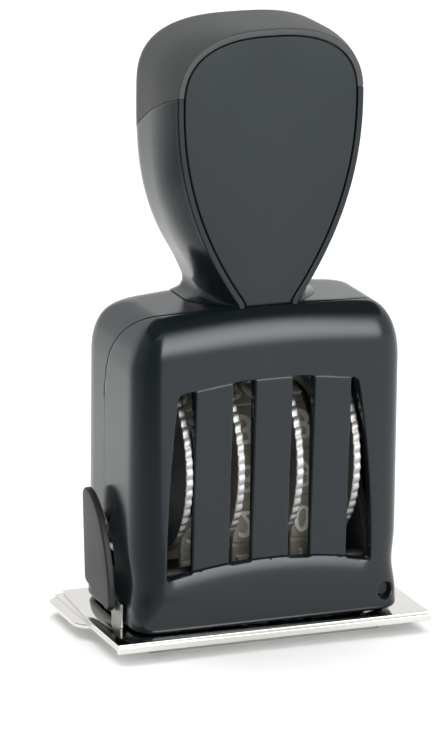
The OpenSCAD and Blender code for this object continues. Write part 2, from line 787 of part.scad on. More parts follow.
// Drum of wheel k, with a spigot through its disc
module hub(k) {
    color(black_matte) difference() {
        union() {
            xcyl(axle_y, axle_z, hub_r, hub_from[k], hub_to[k]);
            xcyl(axle_y, axle_z, spigot_r, disc_x(k) - wheel_t / 2, disc_x(k) + wheel_t / 2);
        }
        xcyl(axle_y, axle_z, axle_r + run, -body_w, body_w);
    }
}
module hub_1() { hub(0); }
module hub_2() { hub(1); }
module hub_3() { hub(2); }
module hub_4() { hub(3); }

// Lever: a fin on the left side, on a barrel that reaches in through the wall
module lever() {
    high = lever_low + lever_h;
    heel = 2;
    top_x = lever_foot_x - lever_lean;
    top_y = lever_rear - 1.5;
    // Side view: curved front edge from the foot to the top, straight rear edge, slanted sole
    side = concat([for (i = [0:12]) let (a = 90 * i / 12)
            [top_y - (top_y - lever_front) * cos(a), lever_low + 1 + (lever_h - 1) * sin(a)]],
        [[lever_rear - 0.5, high - 0.4], [lever_rear, high - 1.4], [lever_rear, lever_low + heel],
            [lever_front + 1.5, lever_low]]);
    color(lever_grey) difference() {
        union() {
            intersection() {
                along_x(side, lever_foot_x - lever_t - lever_lean - past, lever_foot_x + past);
                along_y([[lever_foot_x, lever_low - past], [top_x, high + past],
                    [top_x - lever_t, high + past], [lever_foot_x - lever_t, lever_low - past]],
                    lever_front - past, lever_rear + past);
            }
            block(lever_foot_x - lever_lean - embed, lever_x, barrel_y - barrel_half, barrel_y + barrel_half,
                lever_z - 1, lever_z + 1);
            ycyl(lever_x, lever_z, barrel_r, barrel_y - barrel_half, barrel_y + barrel_half);
        }
        ycyl(lever_x, lever_z, lever_pin_r + run,
            barrel_y - barrel_half - past, barrel_y + barrel_half + past);
    }
}

module lever_pin() {
    half = barrel_half + lever_boss_l - play;
    color(steel) ycyl(lever_x, lever_z, lever_pin_r, barrel_y - half, barrel_y + half);
}

// Leaf spring between the housing's side and the lever's upper part
module lever_spring() {
    foot_z = lever_z + barrel_r + 1;
    bend_z = foot_z + 1.8;
    tip_z = bend_z + 2.6;
    side = -body_w / 2 - fit;
    reach = lever_foot_x - lever_lean * (tip_z - lever_low) / lever_h + fit;
    leaf = [[side, foot_z], [side, bend_z], [reach + spring_t, tip_z], [reach, tip_z],
        [side - spring_t, bend_z], [side - spring_t, foot_z]];
    color(steel) along_y(leaf, barrel_y - spring_half, barrel_y + spring_half);
}

module plate_pin() { color(steel) ycyl(pin_x, pin_z, plate_pin_r, -pin_end, pin_end); }

// Base plate: sheet with a window, two hinge ears at the right and a lug at the left
module base_plate() {
    relief = 1.3;
    color(nickel) difference() {
        union() {
            block(-plate_w / 2, plate_w / 2, -plate_d / 2, plate_d / 2, z_base, z_top);
            for (s = [-1, 1]) {
                ycyl(pin_x, pin_z, ear_r, s * ear_y - ear_t / 2, s * ear_y + ear_t / 2);
                block(pin_x - ear_r, pin_x + ear_web, s * ear_y - ear_t / 2, s * ear_y + ear_t / 2,
                    z_base, pin_z);
            }
            block(lug_x - lug_t, lug_x, lug_front, lug_front + lug_d, z_base, z_top + lug_h);
        }
        block(window_left, window_right, -window_half, window_half, z_base - past, z_top + past);
        for (s = [-1, 1]) ycyl(pin_x, pin_z, plate_pin_r + run, s * ear_y - ear_t, s * ear_y + ear_t);
        // Left rear corner, cut back beside the tongue
        translate([0, 0, z_base - past]) linear_extrude(base_t + 2 * past)
            polygon([[-plate_w / 2 - past, -2], [-plate_w / 2, -2], [-plate_w / 2 + relief, plate_d / 2],
                [-plate_w / 2 + relief, plate_d / 2 + past], [-plate_w / 2 - past, plate_d / 2 + past]]);
    }
}

// Headed studs, welded under the base plate
module plate_studs() {
    color(steel) for (x = [-1, 1], y = [-1, 1]) {
        zcyl(x * stud_x, y * stud_y, stud_r, z_text - run - stud_head_t, z_base);
        zcyl(x * stud_x, y * stud_y, stud_head_r, z_text - run - stud_head_t, z_text - run);
    }
}

// Text plate: tray with lips, keyholes and a finger tongue at the left rear
module text_plate() {
    left = -plate_w / 2;
    right = plate_w / 2 + 0.3;
    half = plate_d / 2 + 0.1;
    tongue_d = 15.4;
    tongue_r = 3;
    low = z_text - lip_drop;
    color(nickel) difference() {
        union() {
            block(left, right, -half, half, z_text, z_base);
            for (s = [-1, 1]) mirror([0, s < 0 ? 1 : 0, 0])
                block(left, right, half - text_t, half, low, z_base);
            block(right - text_t, right, -half, half, low, z_base);
            intersection() {
                translate([left + tongue_r, half - tongue_d / 2, 0])
                    round_prism(2 * (tongue_out + tongue_r), tongue_d, tongue_r, low, low + text_t + embed);
                block(left - 2 * tongue_out, left + text_t, -half, half + past, 0, z_base);
            }
        }
        block(window_left, window_right, -window_half, window_half, z_text - past, z_base + past);
        for (x = [-1, 1], y = [-1, 1]) {
            block(x * stud_x, x * stud_x + text_slide, y * stud_y - stud_r - run, y * stud_y + stud_r + run,
                z_text - past, z_base + past);
            zcyl(x * stud_x, y * stud_y, stud_r + run, z_text - past, z_base + past);
            zcyl(x * stud_x + text_slide, y * stud_y, stud_head_r + run, z_text - past, z_base + past);
        }
    }
}

module die_cushion() {
    color(foam) difference() {
        block(die_left, die_right, -die_half, die_half, die_t, z_text);
        block(window_left, window_right, -window_half, window_half, die_t - past, z_text + past);
    }
}

// Die: a backing with a raised border round the date line
module text_die() {
    border = 1;
    relief = 0.6;
    color(die_grey) difference() {
        block(die_left, die_right, -die_half, die_half, 0, die_t);
        block(window_left, window_right, -window_half, window_half, -past, die_t + past);
        difference() {
            block(die_left + border, die_right - border, border - die_half, die_half - border, -past,
                relief);
            block(window_left - border, window_right + border, -window_half - border,
                window_half + border, -2 * past, die_t);
        }
    }
}

front_shell();
rear_shell();
handle_body();
handle_cap();
front_panel();
rear_panel();
handle_screw();
housing_screws();
left_cheek();
right_cheek();
tie_rod();
wheel_axle();
axle_clips();
axle_spacers();
print_bridge();
bridge_screws();
band_1();
band_2();
band_3();
band_4();
wheel_1();
wheel_2();
wheel_3();
wheel_4();
hub_1();
hub_2();
hub_3();
hub_4();
lever();
lever_pin();
lever_spring();
plate_pin();
base_plate();
plate_studs();
text_plate();
die_cushion();
text_die();
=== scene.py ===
"""Looks of a hand date stamp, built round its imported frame.

Shapes are worked out in millimetres and put into the meshes in metres.
+X to the right, +Y to the rear, +Z up; Z = 0 is the printing face.
"""
import json
import math

import bmesh
import bpy
import numpy as np
from mathutils import Matrix, Vector


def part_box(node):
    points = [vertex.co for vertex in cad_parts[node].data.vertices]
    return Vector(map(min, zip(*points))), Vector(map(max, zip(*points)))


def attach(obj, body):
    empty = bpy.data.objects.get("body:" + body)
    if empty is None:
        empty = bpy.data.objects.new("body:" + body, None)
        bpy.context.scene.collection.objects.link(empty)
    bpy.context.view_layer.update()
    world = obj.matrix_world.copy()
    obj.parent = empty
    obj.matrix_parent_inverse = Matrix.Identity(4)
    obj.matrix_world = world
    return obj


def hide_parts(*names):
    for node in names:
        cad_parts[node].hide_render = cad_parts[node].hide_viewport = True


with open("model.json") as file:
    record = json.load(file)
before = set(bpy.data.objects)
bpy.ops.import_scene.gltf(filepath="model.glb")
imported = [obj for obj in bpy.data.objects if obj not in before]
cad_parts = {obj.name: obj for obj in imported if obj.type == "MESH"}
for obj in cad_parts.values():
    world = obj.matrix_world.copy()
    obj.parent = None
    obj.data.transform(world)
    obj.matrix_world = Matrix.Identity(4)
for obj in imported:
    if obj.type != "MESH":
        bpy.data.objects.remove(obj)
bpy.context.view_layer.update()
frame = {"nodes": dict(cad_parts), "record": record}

MM = 0.001
TURN = 2 * np.pi


def low_high(*nodes):
    """Lowest and highest corner of the box round some nodes, in millimetres."""
    boxes = [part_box(node) for node in nodes]
    low = np.min([list(box[0]) for box in boxes], axis=0) / MM
    high = np.max([list(box[1]) for box in boxes], axis=0) / MM
    return low, high


def half_and_middle(node):
    """Half the width of a node, and its middle in X."""
    low, high = low_high(node)
    return (high[0] - low[0]) / 2, (high[0] + low[0]) / 2


# Sizes taken from the frame

shell_low, shell_high = low_high("front_shell", "rear_shell")
body_x = shell_high[0]
body_front, body_rear = shell_low[1], shell_high[1]
body_low, body_top = shell_low[2], shell_high[2]
wheel_low, wheel_high = low_high("wheel_1")
wheel_r = (wheel_high[2] - wheel_low[2]) / 2
axle_y = (wheel_high[1] + wheel_low[1]) / 2
axle_z = (wheel_high[2] + wheel_low[2]) / 2
handle_low, handle_high = low_high("handle_body", "handle_cap")
handle_w = handle_high[0] - handle_low[0]
handle_front, handle_rear = handle_low[1], handle_high[1]
handle_top = handle_high[2]
panel_low, _ = low_high("front_panel")
rear_panel_low, rear_panel_high = low_high("rear_panel")
lever_low, lever_high = low_high("lever")

# Housing, in millimetres

wall = 1.6
corner_r = 5.0
base_corner_r = 3.8
corner_from, corner_over = 6.5, 7.0
corner_blend = 2.0
front_top_corner_r = 1.0
rear_top_corner_r = 3.0
corner_power = 0.8
roof_rise = 1.1
roof = body_top - roof_rise
arch_reach = 18.5
arch_blend = 12.0
arch_power = 1.4
shoulder_in = 4.8
shoulder_down = 8.6
front_top_in = 4.0
front_top_down = 5.8
rear_top_r = 9.0
base_edge_r = 0.7
swing_cut = 1.35
swing_cut_h = 0.75
front_ear_y, front_ear_half = 7.4, 0.85
rear_ear_y, rear_ear_half = 8.1, 1.1
ear_notch_h, ear_notch_r = 0.65, 0.1
ear_low, ear_high = 3.9, 9.0
ear_room, ear_ramp = 0.95, 0.5
waist_depth = 0.45
waist_z = 10.5
waist_reach = 3.0
seam_r = 16.0
seam_z = body_top - 15.9
seam_gap = 0.08
seam_edge = 0.16
seam_finer, finer_from, finer_over = 3.0, 4.0, 8.0

slot_w = 3.4
slot_pitch = 9.4
slot_centres = (np.arange(4) - 1.5) * slot_pitch
grille_low = body_low + 9.9
grille_top = grille_low + 28.1
arch_r = 75.0
right_arc_r = 157.0
right_arc_x = slot_centres[3] + slot_w / 2 + 0.2
left_arc_r = 240.0
left_arc_x = right_arc_x + 0.6
side_arc_z = grille_low - 1.5
grille_blend, slot_blend = 0.7, 0.5
bars_proud = 0.05
bars_sunk = 0.85
bars_edge = 0.22
lip_round, lip_reach = 0.5, 3.4
lip_power = 2.2
lip_from, lip_end = 0.3, 2.2
front_depth = 2.0
edge_r = 0.3
pin_x = body_x - 2.6
pin_z = body_low + 3.0
pin_hole_r = 1.3
screw_x = 13.0
screw_z = body_top - 0.9 - wall - 2.3
screw_hole_r = 2.0
window_half_w = 15.8
window_half_h = wheel_r - 1
window_r = 3.0
lever_hole_y, lever_hole_z = axle_y - 0.6, body_low + 9.6
lever_hole_half, lever_hole_r = (3.2, 2.2), 0.6
far_out = 9.0
beyond_face, beyond_side = 5.0, 15.0

# Handle

neck_half = 5.6
wide_z = body_top + 30.4
taper = 2.9
flare = 2.1
flare_from = 0.78
crown = 2.8
face_in = 1.1
face_neck_in = 0.85
face_taper = 2.15
face_crown = 2.5
swell_y = -0.9
skirt = 5.0
rear_round = 5.1
collar_r = 2.6
rear_panel_in = rear_round + 1
rim_w = 1.0
rim_edge = 0.3
panel_gap = 0.15
seam_tilt = math.radians(72.8)
cap_seam_r = 55.0
cap_seam_y = handle_front - cap_seam_r * math.cos(seam_tilt)
cap_seam_z = body_top + 31.8 - cap_seam_r * math.sin(seam_tilt)
cap_gap = 0.09
outline_steps, even_steps, sparse = 2000, 1600, 4
recess_depth, recess_edge, recess_slack, recess_blend = 0.9, 0.2, 0.02, 1.5
foot_gap = 0.03

# Wheels and bands

wheel_teeth = 57
wheel_bore = 3.02
band_t = 1.0
block_h = 0.25
figure_h = 0.8
figure_size = 4.3
figure_depth, figure_steps = 0.1, 3
figure_sink, figure_fill = 0.1, 1.7
type_count = 13
block_gap, block_ramp = 0.18, 0.14
band_power = 0.22
band_steps, band_section_steps = 780, 24
nose_flat = 2.6
nose_r = 1.9
belt_r = 9.1

# Mesh tools

tiny = 1e-5
weld_reach = 2e-4
crease = math.radians(32)


def quads(*corners):
    """Triangles of four-sided faces, given as four arrays of corners."""
    a, b, c, d = [corner.ravel() for corner in corners]
    return np.concatenate([np.stack([a, b, c], 1), np.stack([a, c, d], 1)])


def grid(us, vs):
    """Parameters (u, v) of a grid, and its triangles, two to each cell."""
    u, v = np.meshgrid(us, vs, indexing="ij")
    place = np.arange(u.size).reshape(u.shape)
    cells = quads(place[:-1, :-1], place[1:, :-1], place[1:, 1:], place[:-1, 1:])
    return np.stack([u.ravel(), v.ravel()], 1), cells


def split(params, cells, values):
    """Cut triangles along the line where a value given at each point is zero.

    The value runs evenly along an edge, so a new point lies at the share of the
    edge where it vanishes; a cut triangle becomes three.
    """
    above = values > 0
    mixed = np.isin(above[cells].sum(1), (1, 2))
    whole, cut = cells[~mixed], cells[mixed]
    sides = above[cut]
    lone = np.where((sides.sum(1) == 1)[:, None], sides, ~sides).argmax(1)
    cut = np.take_along_axis(cut, (lone[:, None] + np.arange(3)) % 3, 1)
    a, b, c = cut.T
    pairs = np.sort(np.concatenate([np.stack([a, b], 1), np.stack([a, c], 1)]), axis=1)
    edges, place = np.unique(pairs, axis=0, return_inverse=True)
    start, end = edges.T
    share = values[start] / (values[start] - values[end])
    fresh = params[start] + share[:, None] * (params[end] - params[start])
    p, q = len(params) + place.reshape(2, -1)
    cells = np.concatenate([whole, np.stack([a, p, q], 1), quads(p, b, c, q)])
    return np.concatenate([params, fresh]), cells


def cut_along(skin, params, cells, lines):
    """Cut a skin's triangles along lines, each given as a field over its points and levels of it."""
    for field, levels in lines:
        for level in levels:
            values = field(skin(*params.T)) - level
            params, cells = split(params, cells, np.where(np.abs(values) < tiny, tiny, values))
    return params, cells


def same_points(points):
    """First of each set of points that fall together, and the set that each point is in."""
    key = np.round(points / weld_reach).astype(np.int64)
    _, first, place = np.unique(key, axis=0, return_index=True, return_inverse=True)
    return first, place.reshape(-1)


def still_open(cells):
    """The triangles that have three different corners."""
    a, b, c = cells.T
    return cells[(a != b) & (b != c) & (c != a)]


def weld(points, cells):
    """Join points that fall together and drop the triangles that this closes up."""
    first, place = same_points(points)
    return points[first], still_open(place[cells])


def open_edges(cells):
    """Directed edges that have a triangle on one side only."""
    edges = np.concatenate([cells[:, [0, 1]], cells[:, [1, 2]], cells[:, [2, 0]]])
    size = cells.max() + 1
    return edges[~np.isin(edges[:, 0] * size + edges[:, 1], edges[:, 1] * size + edges[:, 0])]


def wall_between(outer, inner, cells):
    """Closed wall: the outer skin, the inner skin turned round, and a strip along every open edge."""
    count = len(outer)
    a, b = open_edges(cells).T
    strip = quads(b, a, a + count, b + count)
    return weld(np.concatenate([outer, inner]), np.concatenate([cells, cells[:, ::-1] + count, strip]))


def mirrored_solid(points, cells):
    """Closed solid from its right half.

    Open edges off the middle plane are carried straight across to X = 0, and the
    half is joined to its mirror image, whose triangles run the other way.
    """
    a, b = open_edges(cells).T
    off = (np.abs(points[a, 0]) > 1e-3) | (np.abs(points[b, 0]) > 1e-3)
    a, b = a[off], b[off]
    count = len(points)
    middle = points * np.array([0.0, 1.0, 1.0])
    points = np.concatenate([points, middle])
    cells = np.concatenate([cells, quads(b, a, a + count, b + count)])
    both = np.concatenate([points, points * np.array([-1.0, 1.0, 1.0])])
    return weld(both, np.concatenate([cells, cells[:, ::-1] + len(points)]))


def loop_solid(points):
    """Triangles of a surface that closes on itself in both directions of its (i, j) grid of points."""
    a = np.arange(points[..., 0].size).reshape(points.shape[:2])
    b = np.roll(a, -1, 0)
    return points.reshape(-1, 3), quads(a, b, np.roll(b, -1, 1), np.roll(a, -1, 1))


def run_length(line):
    """Distance along a line at each of its points."""
    return np.concatenate([[0], np.cumsum(np.linalg.norm(np.diff(line, axis=0), axis=1))])


def columns_at(place, marks, table):
    """Columns of a table at places between the marks of its rows."""
    return np.stack([np.interp(place, marks, column) for column in table.T])


def signed_power(value, power):
    """A power of a value's size, with the value's sign."""
    return np.sign(value) * np.abs(value) ** power


def smooth_step(x):
    """0 below 0, 1 above 1, and a soft rise between."""
    x = np.clip(x, 0, 1)
    return x * x * (3 - 2 * x)


def smooth_max(a, b, reach):
    """The larger of two values, rounded where they are within reach of each other."""
    blend = np.maximum(reach - np.abs(a - b), 0) / reach
    return np.maximum(a, b) + blend * blend * reach / 4


def round_edge(distance, radius):
    """Depth of a quarter-round edge at a distance from it along the face."""
    rest = np.clip(radius - distance, 0, radius)
    return radius - np.sqrt(radius * radius - rest * rest)


def add_object(name, data):
    """Object at the origin, linked into the scene."""
    made = bpy.data.objects.new(name, data)
    bpy.context.scene.collection.objects.link(made)
    return made


def put_piece(name, points, cells, material, body, slot, nodes=()):
    """Piece from points in millimetres and faces, riding on a body and standing for some nodes."""
    mesh = bpy.data.meshes.new(name)
    mesh.from_pydata((points * MM).tolist(), [], cells.tolist())
    mesh.validate()
    mesh.polygons.foreach_set("use_smooth", np.ones(len(mesh.polygons), dtype=bool))
    mesh.set_sharp_from_angle(angle=crease)
    mesh.materials.append(material)
    mesh.update()
    piece = add_object(name, mesh)
    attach(piece, body)
    if nodes:
        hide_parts(*nodes)


# Materials


def feed(tree, node, inputs):
    """Fill a node's inputs: a socket is linked to its input, anything else is set as its value."""
    for label, value in inputs.items():
        if isinstance(value, bpy.types.NodeSocket):
            tree.links.new(value, node.inputs[label])
        else:
            node.inputs[label].default_value = value


def add_node(tree, kind, inputs, **settings):
    """Shader node with its settings and inputs."""
    node = tree.nodes.new("ShaderNode" + kind)
    for label, value in settings.items():
        setattr(node, label, value)
    feed(tree, node, inputs)
    return node


def math_node(tree, kind, *operands):
    """Math node; each operand is a socket or a number."""
    return add_node(tree, "Math", dict(enumerate(operands)), operation=kind).outputs[0]


def eased(tree, value, start, end, first, last):
    """Value carried over from one range to another with a soft start and end."""
    inputs = {"Value": value, "From Min": start, "From Max": end, "To Min": first, "To Max": last}
    return add_node(tree, "MapRange", inputs, interpolation_type="SMOOTHSTEP").outputs["Result"]


def object_coords(tree):
    """Object coordinates."""
    return add_node(tree, "TexCoord", {}).outputs["Object"]


def vector_length(tree, vector):
    """Length of a vector."""
    return add_node(tree, "VectorMath", {0: vector}, operation="LENGTH").outputs["Value"]


def seen_straight(tree):
    """1 where something is seen by the camera, in a reflection or through glass, and 0 in soft light."""
    path = add_node(tree, "LightPath", {}).outputs
    seen = math_node(tree, "MAXIMUM", path["Is Camera Ray"], path["Is Glossy Ray"])
    return math_node(tree, "MAXIMUM", seen, path["Is Transmission Ray"])


def noise_node(tree, coords, scale, detail):
    """Noise on some coordinates."""
    inputs = {"Vector": coords, "Scale": scale, "Detail": detail}
    return add_node(tree, "TexNoise", inputs).outputs["Fac"]


def new_group(name, scale, outputs):
    """Empty shader node group with a scale and named value outputs: tree, scale's socket, last node."""
    group = bpy.data.node_groups.new(name, "ShaderNodeTree")
    socket = group.interface.new_socket("Scale", in_out="INPUT", socket_type="NodeSocketFloat")
    socket.default_value = scale
    for label in outputs:
        group.interface.new_socket(label, in_out="OUTPUT", socket_type="NodeSocketFloat")
    entry = group.nodes.new("NodeGroupInput")
    return group, entry.outputs["Scale"], group.nodes.new("NodeGroupOutput")


def make_grain():
    """Moulded grain: fine noise with a coarser one in it, and slow clouds of tone."""
    wide_scale, cloud_scale, fine_share, wide_share = 0.3, 0.02, 0.7, 0.3
    group, scale, leave = new_group("grain", 3000.0, ("Height", "Clouds"))
    coords = object_coords(group)
    fine = noise_node(group, coords, scale, 2.0)
    wide = noise_node(group, coords, math_node(group, "MULTIPLY", scale, wide_scale), 1.0)
    clouds = noise_node(group, coords, math_node(group, "MULTIPLY", scale, cloud_scale), 2.0)
    fine = math_node(group, "MULTIPLY", fine, fine_share)
    wide = math_node(group, "MULTIPLY", wide, wide_share)
    feed(group, leave, {"Height": math_node(group, "ADD", fine, wide), "Clouds": clouds})
    return group


def make_scuffs():
    """Handling marks: noise stretched along two slants, kept only where it peaks, and dust specks."""
    gain, offset, speck_r = 6.0, -4.1, 0.045
    group, scale, leave = new_group("scuffs", 600.0, ("Lines", "Specks"))
    coords = object_coords(group)
    peaks = []
    for tilt, stretch in ((0.5, (1.0, 1.0, 0.04)), (-0.9, (0.05, 1.0, 1.0))):
        inputs = {"Vector": coords, "Rotation": (tilt, tilt * 0.6, tilt), "Scale": stretch}
        turned = add_node(group, "Mapping", inputs).outputs["Vector"]
        streak = noise_node(group, turned, scale, 1.0)
        sharp = math_node(group, "MULTIPLY_ADD", streak, gain, offset)
        peaks.append(math_node(group, "MAXIMUM", sharp, 0.0))
    lines = math_node(group, "MINIMUM", math_node(group, "MAXIMUM", *peaks), 1.0)
    dust = add_node(group, "TexVoronoi", {"Vector": coords, "Scale": scale}).outputs["Distance"]
    feed(group, leave, {"Lines": lines, "Specks": math_node(group, "LESS_THAN", dust, speck_r)})
    return group


GRAIN = make_grain()
SCUFFS = make_scuffs()


def new_material(name):
    """Material, its node tree and its main shader."""
    material = bpy.data.materials.new(name)
    material.use_nodes = True
    return material, material.node_tree, material.node_tree.nodes["Principled BSDF"]


def make_material(name, colour, worn, roughness, metallic=0.0, grain=3000.0, relief=0.01, scuffs=600.0,
                  spread=0.08, specks=0.3, cloud=0.35, tint=(1.0, 1.0, 1.0), shine=0.5):
    """Material with grain in its relief, cloudy tone, and scuffs that change colour and gloss.

    relief is the height of the grain in millimetres; cloud and specks are the shares of the
    worn colour that the clouds and the dust take; spread is the change of roughness; tint
    and shine are the colour and the strength of the reflections.
    """
    material, tree, shader = new_material(name)
    moulded = add_node(tree, "Group", {}, node_tree=GRAIN)
    feed(tree, moulded, {"Scale": grain})
    handled = add_node(tree, "Group", {}, node_tree=SCUFFS)
    feed(tree, handled, {"Scale": scuffs})
    height, clouds = moulded.outputs["Height"], moulded.outputs["Clouds"]
    lines, dust = handled.outputs["Lines"], handled.outputs["Specks"]
    share = math_node(tree, "MULTIPLY", clouds, cloud)
    for marks in (dust, lines):
        share = math_node(tree, "MAXIMUM", share, math_node(tree, "MULTIPLY", marks, specks))
    mix = add_node(tree, "Mix", {}, data_type="RGBA")
    feed(tree, mix, {"Factor": share, "A": (*colour, 1.0), "B": (*worn, 1.0)})
    gloss = [math_node(tree, "MULTIPLY", marks, spread) for marks in (lines, clouds)]
    gloss = math_node(tree, "ADD", math_node(tree, "ADD", *gloss), roughness - spread / 2)
    bump = add_node(tree, "Bump", {"Distance": relief * MM, "Strength": 1.0, "Height": height})
    feed(tree, shader, {"Metallic": metallic, "Specular Tint": (*tint, 1.0), "Specular IOR Level": shine,
                        "Base Color": mix.outputs["Result"], "Roughness": gloss,
                        "Normal": bump.outputs["Normal"]})
    return material


black_gloss = make_material(
    "black_gloss_plastic", (0.0045, 0.0085, 0.0115), (0.0115, 0.018, 0.019), 0.19,
    grain=900.0, relief=0.0012, spread=0.05, specks=0.12, tint=(0.95, 0.98, 1.0), shine=0.45)
grip_matte = make_material(
    "grip_matte_plastic", (0.043, 0.0455, 0.046), (0.062, 0.064, 0.064), 0.52,
    grain=5200.0, relief=0.02, specks=0.2)
panel_matte = make_material(
    "panel_matte_plastic", (0.0055, 0.008, 0.009), (0.013, 0.0155, 0.0165), 0.5,
    grain=3600.0, relief=0.03, specks=0.15, tint=(0.78, 0.86, 0.9), shine=0.45)
lever_satin = make_material(
    "lever_satin_plastic", (0.019, 0.02, 0.02), (0.032, 0.033, 0.033), 0.42,
    grain=4200.0, relief=0.015, shine=0.36)
frame_matte = make_material(
    "frame_matte_plastic", (0.05, 0.052, 0.052), (0.07, 0.07, 0.068), 0.5, grain=2600.0, relief=0.02)
wheel_nickel = make_material(
    "wheel_nickel", (0.4, 0.4, 0.395), (0.33, 0.33, 0.325), 0.5, metallic=1.0, grain=2200.0, relief=0.006)
plate_polished = make_material(
    "plate_polished", (0.78, 0.77, 0.735), (0.7, 0.69, 0.655), 0.075, metallic=1.0,
    grain=500.0, relief=0.001, spread=0.05, scuffs=420.0, specks=0.5)
# Darker, rougher copy of the plate metal for the base plate's upright ears: painted shade, not a finish of
# their own.
plate_painted_shade = make_material(
    "plate_painted_shade", (0.36, 0.35, 0.32), (0.28, 0.27, 0.25), 0.36, metallic=1.0, grain=1200.0, relief=0.01)
steel_plain = make_material(
    "plain_steel", (0.5, 0.505, 0.51), (0.4, 0.4, 0.4), 0.32, metallic=1.0, grain=1800.0, relief=0.006)
band_rubber = make_material(
    "band_rubber", (0.44, 0.425, 0.345), (0.5, 0.485, 0.4), 0.6, grain=2400.0, relief=0.03, specks=0.5)
figure_rubber = make_material(
    "figure_rubber", (0.94, 0.93, 0.85), (0.95, 0.94, 0.88), 0.45, grain=2400.0, relief=0.02, specks=0.4)
die_rubber = make_material(
    "die_rubber", (0.62, 0.62, 0.6), (0.7, 0.7, 0.68), 0.6, grain=2000.0, relief=0.02)
# Dark steel for the tie rod and the hinge pin; on the pin, whose end sits back in its hole, the darkness is
# painted shade of the hole.
steel_dark = make_material(
    "dark_steel", (0.008, 0.008, 0.008), (0.02, 0.02, 0.02), 0.6, grain=1800.0, relief=0.006)
cushion_foam = make_material(
    "cushion_foam", (0.34, 0.34, 0.32), (0.24, 0.24, 0.22), 0.85, grain=1500.0, relief=0.12)

SLOT_MATERIALS = {"shell": black_gloss, "grip": grip_matte, "lever": lever_satin, "frame": frame_matte,
                  "wheel": wheel_nickel, "plate": plate_polished, "steel": steel_plain,
                  "band": band_rubber, "die": die_rubber, "cushion": cushion_foam}

# The hinge pin gets the dark steel as painted shade of its hole.
NODE_MATERIALS = {"tie_rod": steel_dark, "plate_pin": steel_dark}

for part in frame["record"]["subparts"]:
    node_object = frame["nodes"][part["node"]]
    node_object.data.materials.clear()
    slot_material = SLOT_MATERIALS[part["material_slot"]]
    node_object.data.materials.append(NODE_MATERIALS.get(part["node"], slot_material))

# Housing


def top_lean(z, across, down, inset):
    """How far a wall that rounds over into the roof along a quarter of an ellipse leans in at height z."""
    share = np.clip((z - roof + down) / (down - inset), 0, 1)
    return (across - inset) * (1 - np.sqrt(1 - share * share))


def arch(x):
    """Rise of the roof over its shoulders: a bow across X that ends softly."""
    return roof_rise * np.maximum(0, 1 - (x / arch_reach) ** 2) ** arch_power


def housing_skin(u, v, inset=0):
    """The housing's form, moved in by inset.

    u runs round a rectangle with round corners in eight stretches, from the front left
    corner to the right; v goes up the wall (0 to 1), over the rounded top edges (1 to 2)
    and across the roof to its middle (2 to 3). The wall draws in at the waist and at its
    lower edge, each side leans in over its own top rounding, and the roof is bowed up. The
    corners are parts of a superellipse; where a side leans in, their reach along it shrinks
    by as much, so that their centres stay upright, down to the small corner of the roof. The
    lower right edge is cut back for the plate to swing; the inner form has room for its ears.
    """
    turn = np.clip(v - 1, 0, 1) * np.pi / 2
    z = body_low + np.clip(v, 0, 1) * (roof - rear_top_r - body_low) + (rear_top_r - inset) * np.sin(turn)
    waist = waist_depth * np.exp(-((z - waist_z) / waist_reach) ** 2)
    edge = round_edge(z - body_low, base_edge_r) if inset == 0 else 0.0
    tops = (shoulder_in, shoulder_down), (front_top_in, front_top_down), (rear_top_r, rear_top_r)
    leans = [top_lean(z, across, down, inset) for across, down in tops]
    half = body_x - inset - waist - edge - leans[0]
    front = body_front + inset + edge + leans[1]
    rear = body_rear - inset - edge - leans[2]
    grown = smooth_step((z - corner_from) / corner_over)
    reaches = [base_corner_r + (corner_r - base_corner_r) * grown - inset - lean for lean in leans]
    front_side, front_reach = [smooth_max(reach, front_top_corner_r, corner_blend) for reach in reaches[:2]]
    rear_side, rear_reach = [smooth_max(reach, rear_top_corner_r, corner_blend) for reach in reaches[::2]]
    stretch = np.minimum(np.floor(u), 7).astype(int)
    along = u - stretch
    corner, arc = stretch // 2, stretch % 2
    before = (corner + 3) % 4
    side = np.array([1, 1, -1, -1])
    back = np.array([0, 1, 1, 0])
    centre_x = np.where(arc == 1, side[corner], side[before] + (side[corner] - side[before]) * along)
    back_share = np.where(arc == 1, back[corner], back[before] + (back[corner] - back[before]) * along)
    angle = (corner + arc * along - 1) * np.pi / 2
    right, back_turn = [signed_power(turned, corner_power) for turned in (np.cos(angle), np.sin(angle))]
    side_reach = np.where(back_share > 0.5, rear_side, front_side)
    x = centre_x * (half - side_reach) + side_reach * right
    if inset:
        room = smooth_step((z - ear_low) / ear_ramp) * smooth_step((ear_high - z) / ear_ramp)
        x = x + ear_room * room * np.maximum(right, 0)
    else:
        x = np.minimum(x, body_x - swing_cut * np.clip(1 - (z - body_low) / swing_cut_h, 0, 1))
    first, last = front + front_reach, rear - rear_reach
    y = first + back_share * (last - first) + np.where(back_turn < 0, front_reach, rear_reach) * back_turn
    shrink = 1 - np.clip(v - 2, 0, 1)
    middle = (front + rear) / 2
    x, y = x * shrink, middle + (y - middle) * shrink
    return np.stack([x, y, z + arch(x) * smooth_step((z - roof + arch_blend) / arch_blend)], -1)


def skin_normals(skin, u, v):
    """Outward normals of a surface: the cross product of its slopes along u and v."""
    step = 1e-3
    along = skin(np.minimum(u + step, 8), v) - skin(np.maximum(u - step, 0), v)
    up = skin(u, v + step) - skin(u, v - step)
    normal = np.cross(along, up)
    return normal / np.maximum(np.linalg.norm(normal, axis=-1, keepdims=True), 1e-12)


def ring(p, x, z, radius):
    """Distance outside a circle in the X, Z plane."""
    return np.hypot(p[:, 0] - x, p[:, 2] - z) - radius


def lip_edge(p):
    """Distance below the arched top edge of the lip."""
    return -ring(p, 0, grille_low - arch_r, arch_r)


def grille_side(p):
    """Distance outside the grille's bowed sides, of which the left is flatter."""
    radius = np.where(p[:, 0] < 0, left_arc_r, right_arc_r)
    reach = np.where(p[:, 0] < 0, left_arc_x, right_arc_x)
    return np.hypot(np.abs(p[:, 0]) + radius - reach, p[:, 2] - side_arc_z) - radius


